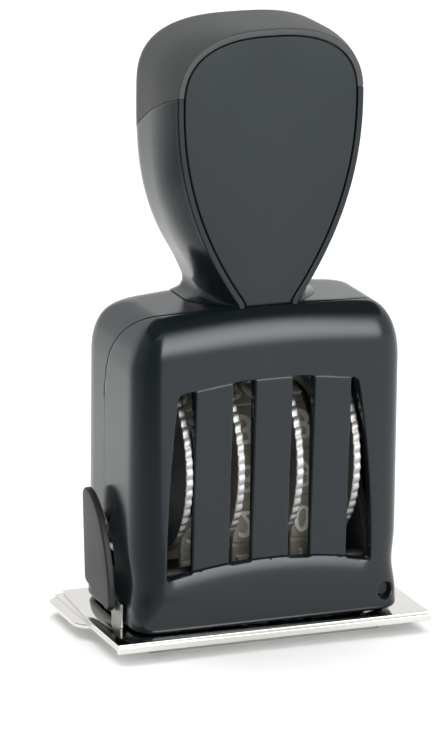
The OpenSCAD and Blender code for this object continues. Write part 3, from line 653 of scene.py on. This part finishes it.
def grille(p):
    """Distance outside the grille, which is arched above and below and bowed at its sides."""
    ends = np.maximum(ring(p, 0, grille_top - arch_r, arch_r), lip_edge(p))
    return smooth_max(ends, grille_side(p), grille_blend)


def slots(p):
    """Distance outside the four slots; the outer two reach to the grille's sides."""
    inside = grille(p)
    half = slot_w / 2
    gaps = [p[:, 0] - slot_centres[0] - half, np.abs(p[:, 0] - slot_centres[1]) - half,
            np.abs(p[:, 0] - slot_centres[2]) - half, slot_centres[3] - half - p[:, 0]]
    return np.min([smooth_max(gap, inside, slot_blend) for gap in gaps], axis=0)


def round_box(a, b, half_a, half_b, radius):
    """Distance outside a rectangle with round corners."""
    over_a = np.abs(a) - half_a + radius
    over_b = np.abs(b) - half_b + radius
    outside = np.hypot(np.maximum(over_a, 0), np.maximum(over_b, 0))
    return outside + np.minimum(np.maximum(over_a, over_b), 0) - radius


def seam(p):
    """Distance behind the parting line: upright at the axle, then a curve forward over the shoulder.

    Low on the sides it counts fourfold, so the line is finer there.
    """
    upright = p[:, 1] - axle_y
    curved = np.hypot(p[:, 1] - axle_y + seam_r, p[:, 2] - seam_z) - seam_r
    finer = 1 + seam_finer * smooth_step((seam_z + finer_from - p[:, 2]) / finer_over)
    return finer * np.where(p[:, 2] < seam_z, upright, curved)


def only_where(there, value):
    """A distance that holds where something is so, and is far outside elsewhere."""
    return np.where(there, value, far_out)


def front_grille(p):
    """Distance outside the grille, on the front only."""
    return only_where(p[:, 1] < -beyond_face, grille(p))


def front_holes(p):
    """Distance outside the slots and the hole of the hinge pin."""
    return only_where(p[:, 1] < -beyond_face, np.minimum(slots(p), ring(p, pin_x, pin_z, pin_hole_r)))


def rear_holes(p):
    """Distance outside the rear window and the screw holes."""
    window = round_box(p[:, 0], p[:, 2] - axle_z, window_half_w, window_half_h, window_r)
    screws = np.minimum(ring(p, screw_x, screw_z, screw_hole_r), ring(p, -screw_x, screw_z, screw_hole_r))
    return only_where(p[:, 1] > beyond_face, np.minimum(window, screws))


def lever_hole(p):
    """Distance outside the window that the lever's barrel reaches through."""
    box = round_box(p[:, 1] - lever_hole_y, p[:, 2] - lever_hole_z, *lever_hole_half, lever_hole_r)
    return only_where(p[:, 0] < -beyond_side, box)


def ear_notches(p):
    """Distance outside the notches in the lower right edge that the plate's ears swing through."""
    up = p[:, 2] - body_low
    front = round_box(p[:, 1] + front_ear_y, up, front_ear_half, ear_notch_h, ear_notch_r)
    rear = round_box(p[:, 1] - rear_ear_y, up, rear_ear_half, ear_notch_h, ear_notch_r)
    return only_where(p[:, 0] > beyond_side, np.minimum(front, rear))


def housing_depth(p):
    """How far the finished face lies inside the plain form.

    The bars start just proud of the face at the top and sink towards the lip, whose top
    edge rolls in; the edges of holes and of the parting line are rounded.
    """
    inside = grille(p)
    drop = np.clip((grille_top - p[:, 2]) / (grille_top - grille_low), 0, 1)
    bars = (bars_sunk + bars_proud) * smooth_step(drop) - bars_proud
    below = np.clip(1 - np.maximum(lip_edge(p), 0) / lip_reach, 0, 1)
    lip = lip_round * below ** lip_power * smooth_step(lip_from - grille_side(p) / lip_end)
    lip = np.where(lip_edge(p) > 0, lip, 0)
    share = smooth_step(-inside / bars_edge)
    front = np.where(p[:, 1] < body_front + front_depth, lip * (1 - share) + bars * share, 0)
    edges = round_edge(front_holes(p), edge_r) + round_edge(rear_holes(p), edge_r)
    return front + edges + round_edge(np.abs(seam(p) - seam_gap / 2), seam_edge)


def build_housing():
    """Front and rear shell: one skin, cut at its holes and edges, given its wall, parted at the seam."""
    around = (66, 16, 22, 14, 40, 14, 22, 16)
    edge_steps, wall_steps, top_steps, roof_steps = 7, 64, 37, 6
    first_row, last_row = 1e-3, 2.9
    us = np.concatenate([k + np.arange(n) / n for k, n in enumerate(around)] + [[8.0]])
    edge_rows = 1 - np.cos(np.linspace(0, np.pi / 2, edge_steps)[:-1])
    edge_share = base_edge_r / (body_top - rear_top_r - body_low)
    vs = np.concatenate([edge_rows * edge_share, np.linspace(edge_share, 1, wall_steps)[:-1],
                         np.linspace(1, 2, top_steps)[:-1], np.linspace(2, 3, roof_steps)])
    seam_levels = (-0.12, -0.04, 0.0, seam_gap, seam_gap + 0.04, seam_gap + 0.12)
    lines = [(front_holes, (0.0, 0.04, 0.12, edge_r)), (rear_holes, (0.0, 0.08, edge_r)),
             (lever_hole, (0.0,)), (ear_notches, (0.0,)), (seam, seam_levels),
             (front_grille, (-bars_edge, -bars_edge / 2, 0.0))]
    params, cells = cut_along(housing_skin, *grid(us, vs), lines)
    centre = housing_skin(*params[cells].mean(1).T)
    kept = np.min([hole(centre) for hole in (front_holes, rear_holes, lever_hole, ear_notches)], axis=0) > 0
    u, v = params.T
    plain = housing_skin(u, v)
    normals = skin_normals(housing_skin, u, np.clip(v, first_row, last_row))
    outer = plain - normals * housing_depth(plain)[:, None]
    inner = housing_skin(u, v, wall)
    for name, zone in (("front_shell", seam(centre) < 0), ("rear_shell", seam(centre) > seam_gap)):
        points, part = weld_skins(outer, inner, cells[kept & zone])
        put_piece(name + "_skin", points, part, black_gloss, "housing", "shell", (name,))


def weld_skins(outer, inner, cells):
    """Close the seam of the parameters, then make the wall between two skins."""
    used, cells = np.unique(cells, return_inverse=True)
    first, place = same_points(outer[used])
    kept = used[first]
    return wall_between(outer[kept], inner[kept], still_open(place[cells.reshape(-1, 3)]))


build_housing()

# Handle


def half_outline(wide, neck, power, foot_flare, top_power):
    """Right half of an outline of the handle, from the foot to the top.

    From the widest point down, the half width falls with a power of the distance and
    flares at the foot; above it, the outline is a quarter of a superellipse.
    """
    fall = np.linspace(1 + skirt / (wide_z - body_top), 0, outline_steps)
    held = np.minimum(fall, 1)
    flared = foot_flare * (np.maximum(0, held - flare_from) / (1 - flare_from)) ** 2
    side = np.stack([wide - (wide - neck) * held ** power + flared, wide_z - fall * (wide_z - body_top)], 1)
    a = np.linspace(0, np.pi / 2, outline_steps)[1:]
    top = np.stack([wide * np.abs(np.cos(a)) ** (2 / top_power),
                    wide_z + (handle_top - wide_z) * np.sin(a) ** (2 / top_power)], 1)
    line = np.concatenate([side, top])
    line[-1, 0] = 0
    return line


def inward_normals(line):
    """Inward normals of a half outline, softened along it."""
    reach = 30
    slope = np.gradient(line, axis=0)
    soft = np.hanning(2 * reach + 1)
    soft = soft / soft.sum()
    padded = np.concatenate([np.repeat(slope[:1], reach, 0), slope, slope[::-1][1:reach + 1] * [1, -1]])
    slope = np.stack([np.convolve(padded[:, k], soft, "valid") for k in (0, 1)], 1)
    slope /= np.linalg.norm(slope, axis=1, keepdims=True)
    slope[-1] = (-1, 0)
    return np.stack([-slope[:, 1], slope[:, 0]], 1)


def outline_tables():
    """The outlines of the middle and of the narrower front face in steps that are even on the first."""
    half = handle_w / 2
    middle = half_outline(half, neck_half, taper, flare, crown)
    face = half_outline(half - face_in, neck_half - face_neck_in, face_taper, 0.0, face_crown)
    length = run_length(middle)
    even = np.linspace(0, length[-1], even_steps)
    lines = [columns_at(even, length, line).T for line in (middle, face)]
    return lines, [inward_normals(line) for line in lines]


(MIDDLE, FACE), (MIDDLE_IN, FACE_IN) = outline_tables()


def outline_at(q, inset, share):
    """Point of the half outline at a part q of its length, moved in by inset: X and Z.

    share 0 is the outline of the middle, 1 that of the front face; between, they are mixed.
    """
    place = q * (len(MIDDLE) - 1)
    rows = np.arange(len(MIDDLE))

    def mixed(first, second):
        start, end = [columns_at(place, rows, line) for line in (first, second)]
        return start + share * (end - start)

    x, z = mixed(MIDDLE, FACE) + inset * mixed(MIDDLE_IN, FACE_IN)
    return np.maximum(x, 0), z


def roof_z(x, y):
    """Height of the housing's roof."""
    front = np.clip(1 - (y - body_front) / front_top_in, 0, 1)
    rear = np.clip((y - body_rear + rear_top_r) / rear_top_r, 0, 1)
    fall = front_top_down * (1 - np.sqrt(1 - front ** 2)) + rear_top_r * (1 - np.sqrt(1 - rear ** 2))
    return roof - fall + arch(x) * smooth_step(1 - fall / arch_blend)


def handle_profile():
    """Section of the handle's skin from the panel's recess round to the rear.

    Each row is Y, inset and share of the front face's outline: recess wall, rounded rim,
    crisp front edge, side that swells to the middle's outline, and a quarter circle at the rear.
    """
    floor = handle_front + recess_depth
    lip, edge_steps, side_steps, rear_steps = 0.15, 6, 30, 20
    a = np.linspace(0, np.pi / 2, edge_steps)
    inner = np.stack([handle_front + lip - lip * np.sin(a), rim_w - lip + lip * np.cos(a)], 1)
    outer = np.stack([handle_front + rim_edge - rim_edge * np.cos(a), rim_edge - rim_edge * np.sin(a)], 1)
    y = np.linspace(handle_front + rim_edge, handle_rear - rear_round, side_steps)[1:]
    side = np.stack([y, 0 * y], 1)
    b = np.linspace(0, np.pi / 2, rear_steps)[1:]
    rear = np.stack([handle_rear - rear_round + rear_round * np.sin(b), rear_round * (1 - np.cos(b))], 1)
    section = np.concatenate([[[floor, rim_w]], inner, outer, side, rear])
    behind = np.clip((section[:, 0] - handle_front - rim_edge) / (swell_y - handle_front - rim_edge), 0, 1)
    share = (1 - behind) ** 2
    share[:1 + len(inner)] = 1
    return np.column_stack([section, share])


PROFILE = handle_profile()


def handle_skin(q, v):
    """Right half of the handle: q runs along the outline, v across the section.

    v from 0 to 1 is the floor of the panel's recess, from the middle out; from 1 to 2 the
    section's points; from 2 to 3 the flat rear, back to the middle. Just over the roof the
    sides sweep out along a quarter circle.
    """
    rows = np.arange(len(PROFILE))
    y, inset, front_share = columns_at(np.clip(v - 1, 0, 1) * (len(PROFILE) - 1), rows, PROFILE)
    x, z = outline_at(q, inset, front_share)
    sweep = round_edge(np.maximum(z - roof_z(x, y), 0), collar_r)
    x = x + sweep * (1 - front_share) * (1 - inset / rear_round)
    share = np.clip(v, 0, 1) * (1 - np.clip(v - 2, 0, 1))
    return np.stack([x * share, y, z], -1)


def outline_distance(x, z):
    """Distance from the outline of the handle's middle, to the nearest of some of its points."""
    line = MIDDLE[::sparse]
    return np.hypot(x[:, None] - line[:, 0], z[:, None] - line[:, 1]).min(1)


def rear_recess(p):
    """Distance outside the recess of the rear panel."""
    inset = rear_panel_in - panel_gap
    low = rear_panel_low[2] - panel_gap
    out = smooth_max(inset - outline_distance(p[:, 0], p[:, 2]), low - p[:, 2], recess_blend)
    return only_where(p[:, 1] > handle_rear - recess_slack / 2, out)


def cap_seam(p):
    """Distance above the cap's seam, a wide arc that falls towards the rear."""
    return np.hypot(p[:, 1] - cap_seam_y, p[:, 2] - cap_seam_z) - cap_seam_r


def foot(p):
    """Height over the housing's roof."""
    return p[:, 2] - roof_z(p[:, 0], p[:, 1]) - foot_gap


def build_handle():
    """Handle and cap: half a skin, cut at the foot and the seam, closed and mirrored."""
    along_steps, rear_steps = 190, 26
    qs = np.linspace(0, 1, along_steps)
    vs = np.concatenate([[0, 0.5], np.linspace(1, 2, len(PROFILE)), np.linspace(2, 3, rear_steps)[1:]])
    lines = [(foot, (0.0,)), (cap_seam, (-0.1, 0.0, cap_gap, cap_gap + 0.1)),
             (rear_recess, (-0.03, 0.0, 0.08, recess_edge))]
    params, cells = cut_along(handle_skin, *grid(qs, vs), lines)
    points = handle_skin(*params.T)
    centre = handle_skin(*params[cells].mean(1).T)
    sunk = rear_recess(points)
    rim = round_edge(np.maximum(sunk, 0), recess_edge)
    points[:, 1] -= recess_depth * (sunk < -recess_slack) + rim * (sunk > -recess_slack)
    groove = round_edge(np.abs(cap_seam(points) - cap_gap / 2), seam_edge)
    points[:, 0] -= np.minimum(groove, points[:, 0])
    for name, node, zone, material, slot in (
            ("handle_body_skin", "handle_body", cap_seam(centre) < 0, black_gloss, "shell"),
            ("handle_cap_skin", "handle_cap", cap_seam(centre) > cap_gap, grip_matte, "grip")):
        part = cells[(foot(centre) > 0) & zone]
        solid = mirrored_solid(*weld(points, part[:, ::-1]))
        put_piece(name, *solid, material, "housing", slot, (node,))


build_handle()


def build_panel(name, node, inset, share, front, low, turned):
    """Inlaid panel: the handle's outline moved in, with rounded edges and a flat face.

    The section runs from the back edge up the side and over a quarter circle to the face,
    and from there straight across to the middle.
    """
    thick, edge, along_steps, edge_steps = 0.8, 0.22, 240, 7
    a = np.linspace(0, np.pi / 2, edge_steps)
    section = np.stack([thick - edge + edge * np.sin(a), inset + edge * (1 - np.cos(a))], 1)
    section = np.concatenate([[[0.0, inset]], section])
    rows = np.arange(len(section))
    last = len(section) - 1

    def skin(q, v):
        lift, inset_here = columns_at(np.clip(v, 0, last), rows, section)
        x, z = outline_at(q, inset_here, share)
        return np.stack([x * (1 - np.clip(v - last, 0, 1)), front + turned * (thick - lift), z], -1)

    def height(p):
        return p[:, 2] - low

    steps = grid(np.linspace(0, 1, along_steps), np.arange(last + 2.0))
    params, cells = cut_along(skin, *steps, [(height, (0.0, 0.06, edge))])
    points = skin(*params.T)
    cells = cells[height(skin(*params[cells].mean(1).T)) > 0]
    face = (points[:, 1] - front) * turned < thick / 2
    points[:, 1] += turned * np.where(face, round_edge(np.maximum(0, height(points)), edge), 0)
    solid = mirrored_solid(*weld(points, cells[:, ::turned]))
    put_piece(name, *solid, panel_matte, "housing", "grip", (node,))


build_panel("front_panel_inlay", "front_panel", rim_w + panel_gap, 1.0, panel_low[1],
            roof_z(0.0, panel_low[1]) + panel_gap, 1)
build_panel("rear_panel_inlay", "rear_panel", rear_panel_in, 0.0, rear_panel_high[1], rear_panel_low[2], -1)

# Setting wheels


def build_wheel(k):
    """Rope-edged disc: a section of two faces and a round rim, turned about the axle.

    The rim's radius swells and falls along slanted waves, so each tooth lies askew.
    """
    node = f"wheel_{k}"
    half, middle = half_and_middle(node)
    rim_round, notch, slant, narrowest = 0.2, 0.2, 0.8, 0.9
    web_w, shoulder_w, tooth_steps, rim_steps = 6.0, 0.5, 12, 11
    side_power, rim_power, tooth_power, end_power = 0.5, 0.4, 0.6, 0.25
    angle = np.linspace(0, TURN, wheel_teeth * tooth_steps, endpoint=False)[:, None]
    a = np.linspace(-np.pi / 2, np.pi / 2, rim_steps)[None, :]
    base = wheel_r - notch - rim_round
    wave = 0.5 + 0.5 * np.cos(wheel_teeth * angle + slant * np.sin(a))
    rim_x = half * signed_power(np.sin(a), side_power) * (narrowest + (1 - narrowest) * wave)
    tooth = notch * wave ** tooth_power * np.abs(np.cos(a)) ** end_power
    rim_radius = base + rim_round * np.cos(a) ** rim_power + tooth
    face_r = np.array([wheel_bore, wheel_bore + web_w, base - shoulder_w]) * np.ones_like(angle)
    face_x = np.full_like(face_r, half * narrowest)
    x = np.concatenate([-face_x, rim_x, face_x], 1)
    radius = np.concatenate([face_r, rim_radius, face_r[:, ::-1]], 1)
    points = np.stack([middle + x, axle_y + radius * np.cos(angle), axle_z + radius * np.sin(angle)], -1)
    points, cells = loop_solid(points)
    put_piece(node + "_disc", points, cells[:, ::-1], wheel_nickel, node, "wheel", (node,))


for number in range(1, 5):
    build_wheel(number)

# Date bands

nose_z = figure_h + band_t + nose_r


def nose_lean(y):
    """Direction from the drum to a nose at Y, the angle from there to the straight run, and its length."""
    span, less = np.hypot(y - axle_y, nose_z - axle_z), belt_r - nose_r
    run = np.sqrt(span ** 2 - less ** 2)
    return np.arctan2(nose_z - axle_z, y - axle_y), np.arccos(less / span), run


front_dir, front_open, run_front = nose_lean(-nose_flat)
rear_dir, rear_open, run_rear = nose_lean(nose_flat)
front_a = front_dir - front_open + TURN
rear_a = rear_dir + rear_open
nose_out, drum_out = nose_r + band_t, belt_r + band_t
marks = np.cumsum([0, nose_flat, nose_out * (np.pi / 2 + rear_a), run_rear, drum_out * (front_a - rear_a),
                   run_front, nose_out * (1.5 * np.pi - front_a), nose_flat])
belt_len = marks[-1]

# Stretches of a band: centre in Y and Z, radius of the outer face, angle at the start
BAND_PARTS = np.array([
    (0, nose_z, nose_out, -np.pi / 2), (nose_flat, nose_z, nose_out, -np.pi / 2),
    (nose_flat, nose_z, nose_out, rear_a), (axle_y, axle_z, drum_out, rear_a),
    (axle_y, axle_z, drum_out, front_a), (-nose_flat, nose_z, nose_out, front_a),
    (-nose_flat, nose_z, nose_out, 1.5 * np.pi)])


def on_band(s):
    """Outer face of a band at distance s from the middle of the printing line: Y, Z and outward angle.

    Flat under the bridge, round the rear nose, up to the drum, over it, down the front and
    round the front nose.
    """
    s = s % belt_len
    part = np.clip(np.searchsorted(marks, s, side="right") - 1, 0, 6)
    gone = s - marks[part]
    centre_y, centre_z, radius, start = BAND_PARTS[part].T
    turning = np.isin(part, (1, 3, 5))
    angle = start + np.where(turning, gone / radius, 0)
    straight = np.where(turning, 0, gone)
    y = centre_y + radius * np.cos(angle) - straight * np.sin(angle)
    z = centre_z + radius * np.sin(angle) + straight * np.cos(angle)
    return y, z, angle


def place_on_band(x, s, height):
    """Points at X, at s along the band, at a height over its outer face."""
    y, z, angle = on_band(s)
    return np.stack([x, y + height * np.cos(angle), z + height * np.sin(angle)], -1)


def digit_mesh(word):
    """Raised figure: a text outline with a little depth, as points (x, y, z) in units of its height."""
    curve = bpy.data.curves.new("figure", "FONT")
    curve.body = word
    curve.align_x = "CENTER"
    curve.align_y = "CENTER"
    curve.extrude = figure_depth
    curve.resolution_u = figure_steps
    shape = add_object("figure", curve)
    view = bpy.context.evaluated_depsgraph_get()
    mesh = bpy.data.meshes.new_from_object(shape.evaluated_get(view))
    mesh.calc_loop_triangles()
    points = np.empty(len(mesh.vertices) * 3)
    mesh.vertices.foreach_get("co", points)
    cells = np.empty(len(mesh.loop_triangles) * 3, dtype=np.int32)
    mesh.loop_triangles.foreach_get("vertices", cells)
    bpy.data.objects.remove(shape)
    bpy.data.curves.remove(curve)
    bpy.data.meshes.remove(mesh)
    return points.reshape(-1, 3), cells.reshape(-1, 3)


def build_band(k, words):
    """Rubber band: a round-cornered section carried along its path, with low blocks and raised figures."""
    node = f"band_{k}"
    half, middle = half_and_middle(node)
    pitch = belt_len / type_count
    s = np.linspace(0, belt_len, band_steps, endpoint=False)[:, None]
    a = np.linspace(0, TURN, band_section_steps, endpoint=False)[None, :]
    gap = np.abs((s / pitch) % 1 - 0.5) * pitch
    block = block_h * smooth_step((gap - block_gap) / block_ramp)
    across, through = [signed_power(turned, band_power) for turned in (np.sin(a), np.cos(a))]
    height = np.where(through > 0, -band_t / 2 + through * (band_t / 2 + block), (through - 1) * band_t / 2)
    x = middle + half * across + 0 * s
    points = place_on_band(x.ravel(), np.repeat(s, a.size), height.ravel())
    points, cells = loop_solid(points.reshape(x.shape + (3,)))
    put_piece(f"{node}_loop", points, cells, band_rubber, "housing", "band", (node,))
    all_points, all_cells, count = [], [], 0
    for i in range(type_count):
        shape, faces = digit_mesh(words[i % len(words)])
        tall = np.ptp(shape[:, 1])
        scale = min(figure_size / tall, figure_fill * half / np.ptp(shape[:, 0]))
        x = middle + shape[:, 0] * scale
        along = i * pitch + shape[:, 1] * figure_size / tall
        lift = np.where(shape[:, 2] > 0, figure_h, block_h - figure_sink)
        all_points.append(place_on_band(x, along, lift))
        all_cells.append(faces[:, ::-1] + count)
        count += len(shape)
    figures = np.concatenate(all_points), np.concatenate(all_cells)
    put_piece(f"{node}_figures", *figures, figure_rubber, "housing", "band")


single = [str(n) for n in range(10)]
paired = [f"{n:02d}" for n in range(20, 33)]
for number, words in ((1, paired), (2, paired[3:] + paired[:3]), (3, single), (4, single[4:] + single[:4])):
    build_band(number, words)

# Release lever


def build_lever():
    """Fin of the lever: rings of its side outline, rounded over the outer edge, closed to its middle.

    The outline is a quarter of an ellipse from the foot up to the top, then the straight
    rear edge and the slanted sole.
    """
    lean, thick, edge, back_edge = 0.55, 1.05, 0.4, 0.08
    toe_h, top_r = 1.0, 1.5
    curve_steps, top_steps, line_steps, edge_steps = 60, 12, 220, 8
    front, rear = lever_low[1], lever_high[1]
    low, high = lever_low[2], lever_high[2]
    foot_x = lever_low[0] + lean + thick
    a = np.linspace(0, np.pi / 2, curve_steps)
    top_y = rear - top_r
    rise = high - low - toe_h
    curve = np.stack([top_y - (top_y - front) * np.cos(a), low + toe_h + rise * np.sin(a)], 1)
    b = np.linspace(np.pi / 2, 0, top_steps)[1:]
    shoulder = np.stack([top_y + top_r * np.cos(b), high - top_r + top_r * np.sin(b)], 1)
    heel = [[rear, low + 2.6], [rear - 0.5, low + 2.0], [front + 2.2, low + 0.1], [front + 1.2, low]]
    line = np.concatenate([curve, shoulder, heel, curve[:1]])
    length = run_length(line)
    line = columns_at(np.linspace(0, length[-1], line_steps, endpoint=False), length, line).T
    slope = np.roll(line, -2, 0) - np.roll(line, 2, 0)
    slope /= np.linalg.norm(slope, axis=1, keepdims=True)
    inward = np.stack([slope[:, 1], -slope[:, 0]], 1)
    c = np.linspace(0, np.pi / 2, edge_steps)
    depth = np.concatenate([[0, 0, back_edge], thick - edge + edge * np.sin(c), [thick, thick]])
    inset = np.concatenate([[back_edge, back_edge, 0], edge * (1 - np.cos(c)), [edge, edge]])
    size = np.concatenate([[0], np.ones(edge_steps + 2), [0.5, 0]])
    rings = line[None] + inset[:, None, None] * inward[None]
    middle = line.mean(0)
    rings = middle + size[:, None, None] * (rings - middle)
    y, z = rings[..., 0], rings[..., 1]
    x = foot_x - lean * (z - low) / (high - low) - depth[:, None]
    points = np.stack([x, y, z], -1)
    place = np.arange(x.size).reshape(x.shape)
    following = np.roll(place, -1, 1)
    cells = quads(place[:-1], following[:-1], following[1:], place[1:])
    put_piece("lever_fin", *weld(points.reshape(-1, 3), cells), lever_satin, "lever", "lever", ("lever",))


build_lever()

# Plates


def bevelled_copy(node, name, width, material, body, raised=None):
    """Copy of a node's mesh with its doubles merged, flat faces joined and edges rounded.

    raised, if given, is a second material for the faces that stand up over the plate's low
    part, by more than a third of the mesh's height: a darker copy of the plate metal that
    paints shade on the upright ears.
    """
    same_place, same_plane, sharp_from = 1e-6, math.radians(1), math.radians(40)
    mesh = frame["nodes"][node].data.copy()
    work = bmesh.new()
    work.from_mesh(mesh)
    bmesh.ops.remove_doubles(work, verts=work.verts, dist=same_place)
    bmesh.ops.dissolve_limit(work, angle_limit=same_plane, verts=work.verts, edges=work.edges)
    work.to_mesh(mesh)
    work.free()
    mesh.name = name
    mesh.materials.clear()
    mesh.materials.append(material)
    mesh.polygons.foreach_set("use_smooth", np.ones(len(mesh.polygons), dtype=bool))
    # Faces that stand up, the ears, get the darker copy of the metal as painted shade.
    if raised:
        mesh.materials.append(raised)
        centres = np.empty(len(mesh.polygons) * 3)
        mesh.polygons.foreach_get("center", centres)
        low, high = low_high(node)
        stands = centres[2::3] / MM > low[2] + (high[2] - low[2]) / 3
        mesh.polygons.foreach_set("material_index", stands.astype(np.int32))
    piece = add_object(name, mesh)
    bevel = piece.modifiers.new("rounded_edges", "BEVEL")
    bevel.width = width * MM
    bevel.segments = 3
    bevel.limit_method = "ANGLE"
    bevel.angle_limit = sharp_from
    bevel.harden_normals = True
    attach(piece, body)
    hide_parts(node)


# The base plate's ears take the darker copy of the plate metal, which paints shade on them.
bevelled_copy("base_plate", "base_plate_sheet", 0.1, plate_polished, "base_plate", plate_painted_shade)
bevelled_copy("text_plate", "text_plate_tray", 0.12, plate_polished, "text_plate")

# Stage, light and camera


def plain_floor():
    """Wide pale floor that keeps the shadow and stays white far from the lamps."""
    size, white = 3.0, (1, 1, 1, 1)
    mesh = bpy.data.meshes.new("floor")
    corners = [(-size, -size, 0), (size, -size, 0), (size, size, 0), (-size, size, 0)]
    mesh.from_pydata(corners, [], [(0, 1, 2, 3)])
    floor = add_object("floor", mesh)
    material, tree, shader = new_material("pale_floor")
    glow = eased(tree, vector_length(tree, object_coords(tree)), 0.3, 1.0, 0.14, 0.7)
    strength = math_node(tree, "MULTIPLY", seen_straight(tree), glow)
    feed(tree, shader, {"Base Color": (0.9, 0.9, 0.9, 1), "Roughness": 0.9, "Specular IOR Level": 0.0,
                        "Emission Color": white, "Emission Strength": strength})
    mesh.materials.append(material)


def white_world():
    """White to the camera and in reflections, softer as fill light."""
    fill, white = 0.5, (1, 1, 1, 1)
    world = bpy.data.worlds.new("studio")
    bpy.context.scene.world = world
    world.use_nodes = True
    tree = world.node_tree
    strength = math_node(tree, "MULTIPLY_ADD", seen_straight(tree), 1 - fill, fill)
    feed(tree, tree.nodes["Background"], {"Color": white, "Strength": strength})


def softbox(name, centre, size, radiance):
    """Area lamp that looks at the stamp and lights it without showing in reflections."""
    target = np.array([0, 0, 0.04])
    lamp = bpy.data.lights.new(name, "AREA")
    lamp.shape = "RECTANGLE"
    lamp.size, lamp.size_y = size
    lamp.energy = radiance * size[0] * size[1] * math.pi
    holder = add_object(name, lamp)
    holder.location = centre
    holder.rotation_euler = Vector(target - np.array(centre)).to_track_quat("-Z", "Y").to_euler()
    holder.visible_camera = False
    holder.visible_glossy = False


def card(name, points, strength, faces=((0, 1, 2, 3),), level=None):
    """Sheet that only reflections see: a dark flag, or a bright reflector.

    level, if given, is a function that takes the sheet's tree and its coordinates and
    returns a socket with the strength.
    """
    mesh = bpy.data.meshes.new(name)
    mesh.from_pydata(points, [], faces)
    sheet = add_object(name, mesh)
    material, tree, shader = new_material(name)
    tree.nodes.remove(shader)
    glow = add_node(tree, "Emission", {"Strength": strength})
    if level:
        feed(tree, glow, {"Strength": level(tree, add_node(tree, "TexCoord", {}).outputs)})
    feed(tree, tree.nodes["Material Output"], {"Surface": glow.outputs[0]})
    mesh.materials.append(material)
    sheet.visible_camera = False
    sheet.visible_diffuse = False
    sheet.visible_shadow = False
    sheet.visible_transmission = False
    return mesh


def window_card(name, corners, floor_level, peak, peak_at, fades):
    """Card that brightens from the floor up to a peak and fades above it and at both ends.

    peak_at is the part of the height at which the peak lies; fades are the parts of the
    width over which the left and the right end fade.
    """
    low_end, high_end, top_share, end_share = -0.4 * peak_at, 0.75, 0.1, 0.2

    def level(tree, coords):
        parts = add_node(tree, "SeparateXYZ", {0: coords["UV"]}).outputs
        across, up = parts["X"], parts["Y"]
        left, right = fades
        value = eased(tree, up, low_end, peak_at, floor_level, peak)
        for fade in ((up, peak_at, high_end, 1, top_share), (across, 0, left, end_share, 1),
                     (across, 1, 1 - right, end_share, 1)):
            value = math_node(tree, "MULTIPLY", value, eased(tree, *fade))
        return value

    mesh = card(name, corners, peak, level=level)
    layer = mesh.uv_layers.new(name="across_and_up")
    layer.data.foreach_set("uv", [0, 0, 1, 0, 1, 1, 0, 1])


def dark_left():
    """Sector of the floor on the left, and a round wall behind it, that reflections see as dark.

    It brightens close to the stamp, and with the angle from the front round to the rear.
    """
    steps, near_r, reach, tall = 32, 0.036, 1.1, 0.9
    azimuth = np.radians(np.linspace(-8, -160, steps))
    around = np.stack([np.sin(azimuth), -np.cos(azimuth), 0 * azimuth], 1)
    lift = np.array([0, 0, 0.0015])
    points = np.concatenate([around * near_r + lift, around * reach + lift, around * reach + [0, 0, tall]])
    faces = [(k, k + steps, k + steps + 1, k + 1) for k in range(2 * steps - 1) if k != steps - 1]

    def level(tree, coords):
        parts = add_node(tree, "SeparateXYZ", {0: coords["Object"]}).outputs
        left = math_node(tree, "MULTIPLY", parts["X"], -1.0)
        ahead = math_node(tree, "MULTIPLY", parts["Y"], -1.0)
        angle = math_node(tree, "ARCTAN2", left, ahead)
        near = eased(tree, vector_length(tree, coords["Object"]), 0.12, 0.165, 0.3, 0.0)
        side = eased(tree, angle, 0.7, 1.9, 0.16, 0.46)
        rear = eased(tree, angle, 2.1, 2.8, 0.0, 0.8)
        return math_node(tree, "ADD", math_node(tree, "ADD", near, side), rear)

    card("left_flag", points.tolist(), 0.05, faces, level)


plain_floor()
white_world()
softbox("key_softbox", (0.165, -0.577, 0.45), (0.56, 0.5), 1.8)
softbox("top_softbox", (0.2, 0.12, 0.62), (0.6, 0.5), 2.3)
softbox("left_softbox", (-0.2, 0.12, 0.66), (0.4, 0.4), 4.0)
window_card("key_window",
            [(-0.104, -0.651, 0.0), (0.434, -0.497, 0.0), (0.434, -0.497, 1.0), (-0.104, -0.651, 1.0)],
            1.0, 7.4, 0.18, (0.03, 0.35))
card("overhead_flag", [(-0.7, -0.36, 0.55), (0.7, -0.36, 0.55), (0.7, 0.7, 0.55), (-0.7, 0.7, 0.55)], 0.08)
dark_left()
card("rear_reflector", [(-0.9, 0.75, 0.0), (0.9, 0.75, 0.0), (0.9, 0.75, 0.5), (-0.9, 0.75, 0.5)], 0.95)
card("rear_floor_reflector",
     [(-0.5, 0.05, 0.001), (0.5, 0.05, 0.001), (0.5, 0.75, 0.001), (-0.5, 0.75, 0.001)], 1.3)


def place_camera():
    """Long lens at the photograph's angle: left of the front, a little above, with a slight roll."""
    yaw, lift, roll = np.radians([21.43, 15.5, 0.67])
    target = np.array([-3.85, 0.0, 39.69]) * MM
    distance, focal, sensor, far_clip = 0.8, 259.5, 36.0, 20.0
    ahead = np.array([math.sin(yaw) * math.cos(lift), math.cos(yaw) * math.cos(lift), -math.sin(lift)])
    right = np.array([math.cos(yaw), -math.sin(yaw), 0.0])
    up = np.cross(right, ahead)
    level_right = math.cos(roll) * right + math.sin(roll) * up
    level_up = -math.sin(roll) * right + math.cos(roll) * up
    lens = bpy.data.cameras.new("camera")
    lens.sensor_fit = "VERTICAL"
    lens.sensor_height = sensor
    lens.lens = focal
    lens.clip_end = far_clip
    camera = add_object("camera", lens)
    matrix = np.eye(4)
    matrix[:3, 0], matrix[:3, 1], matrix[:3, 2] = level_right, level_up, -ahead
    matrix[:3, 3] = target - ahead * distance
    camera.matrix_world = Matrix(matrix.tolist())
    bpy.context.scene.camera = camera


place_camera()
bpy.context.scene.view_settings.view_transform = "Standard"
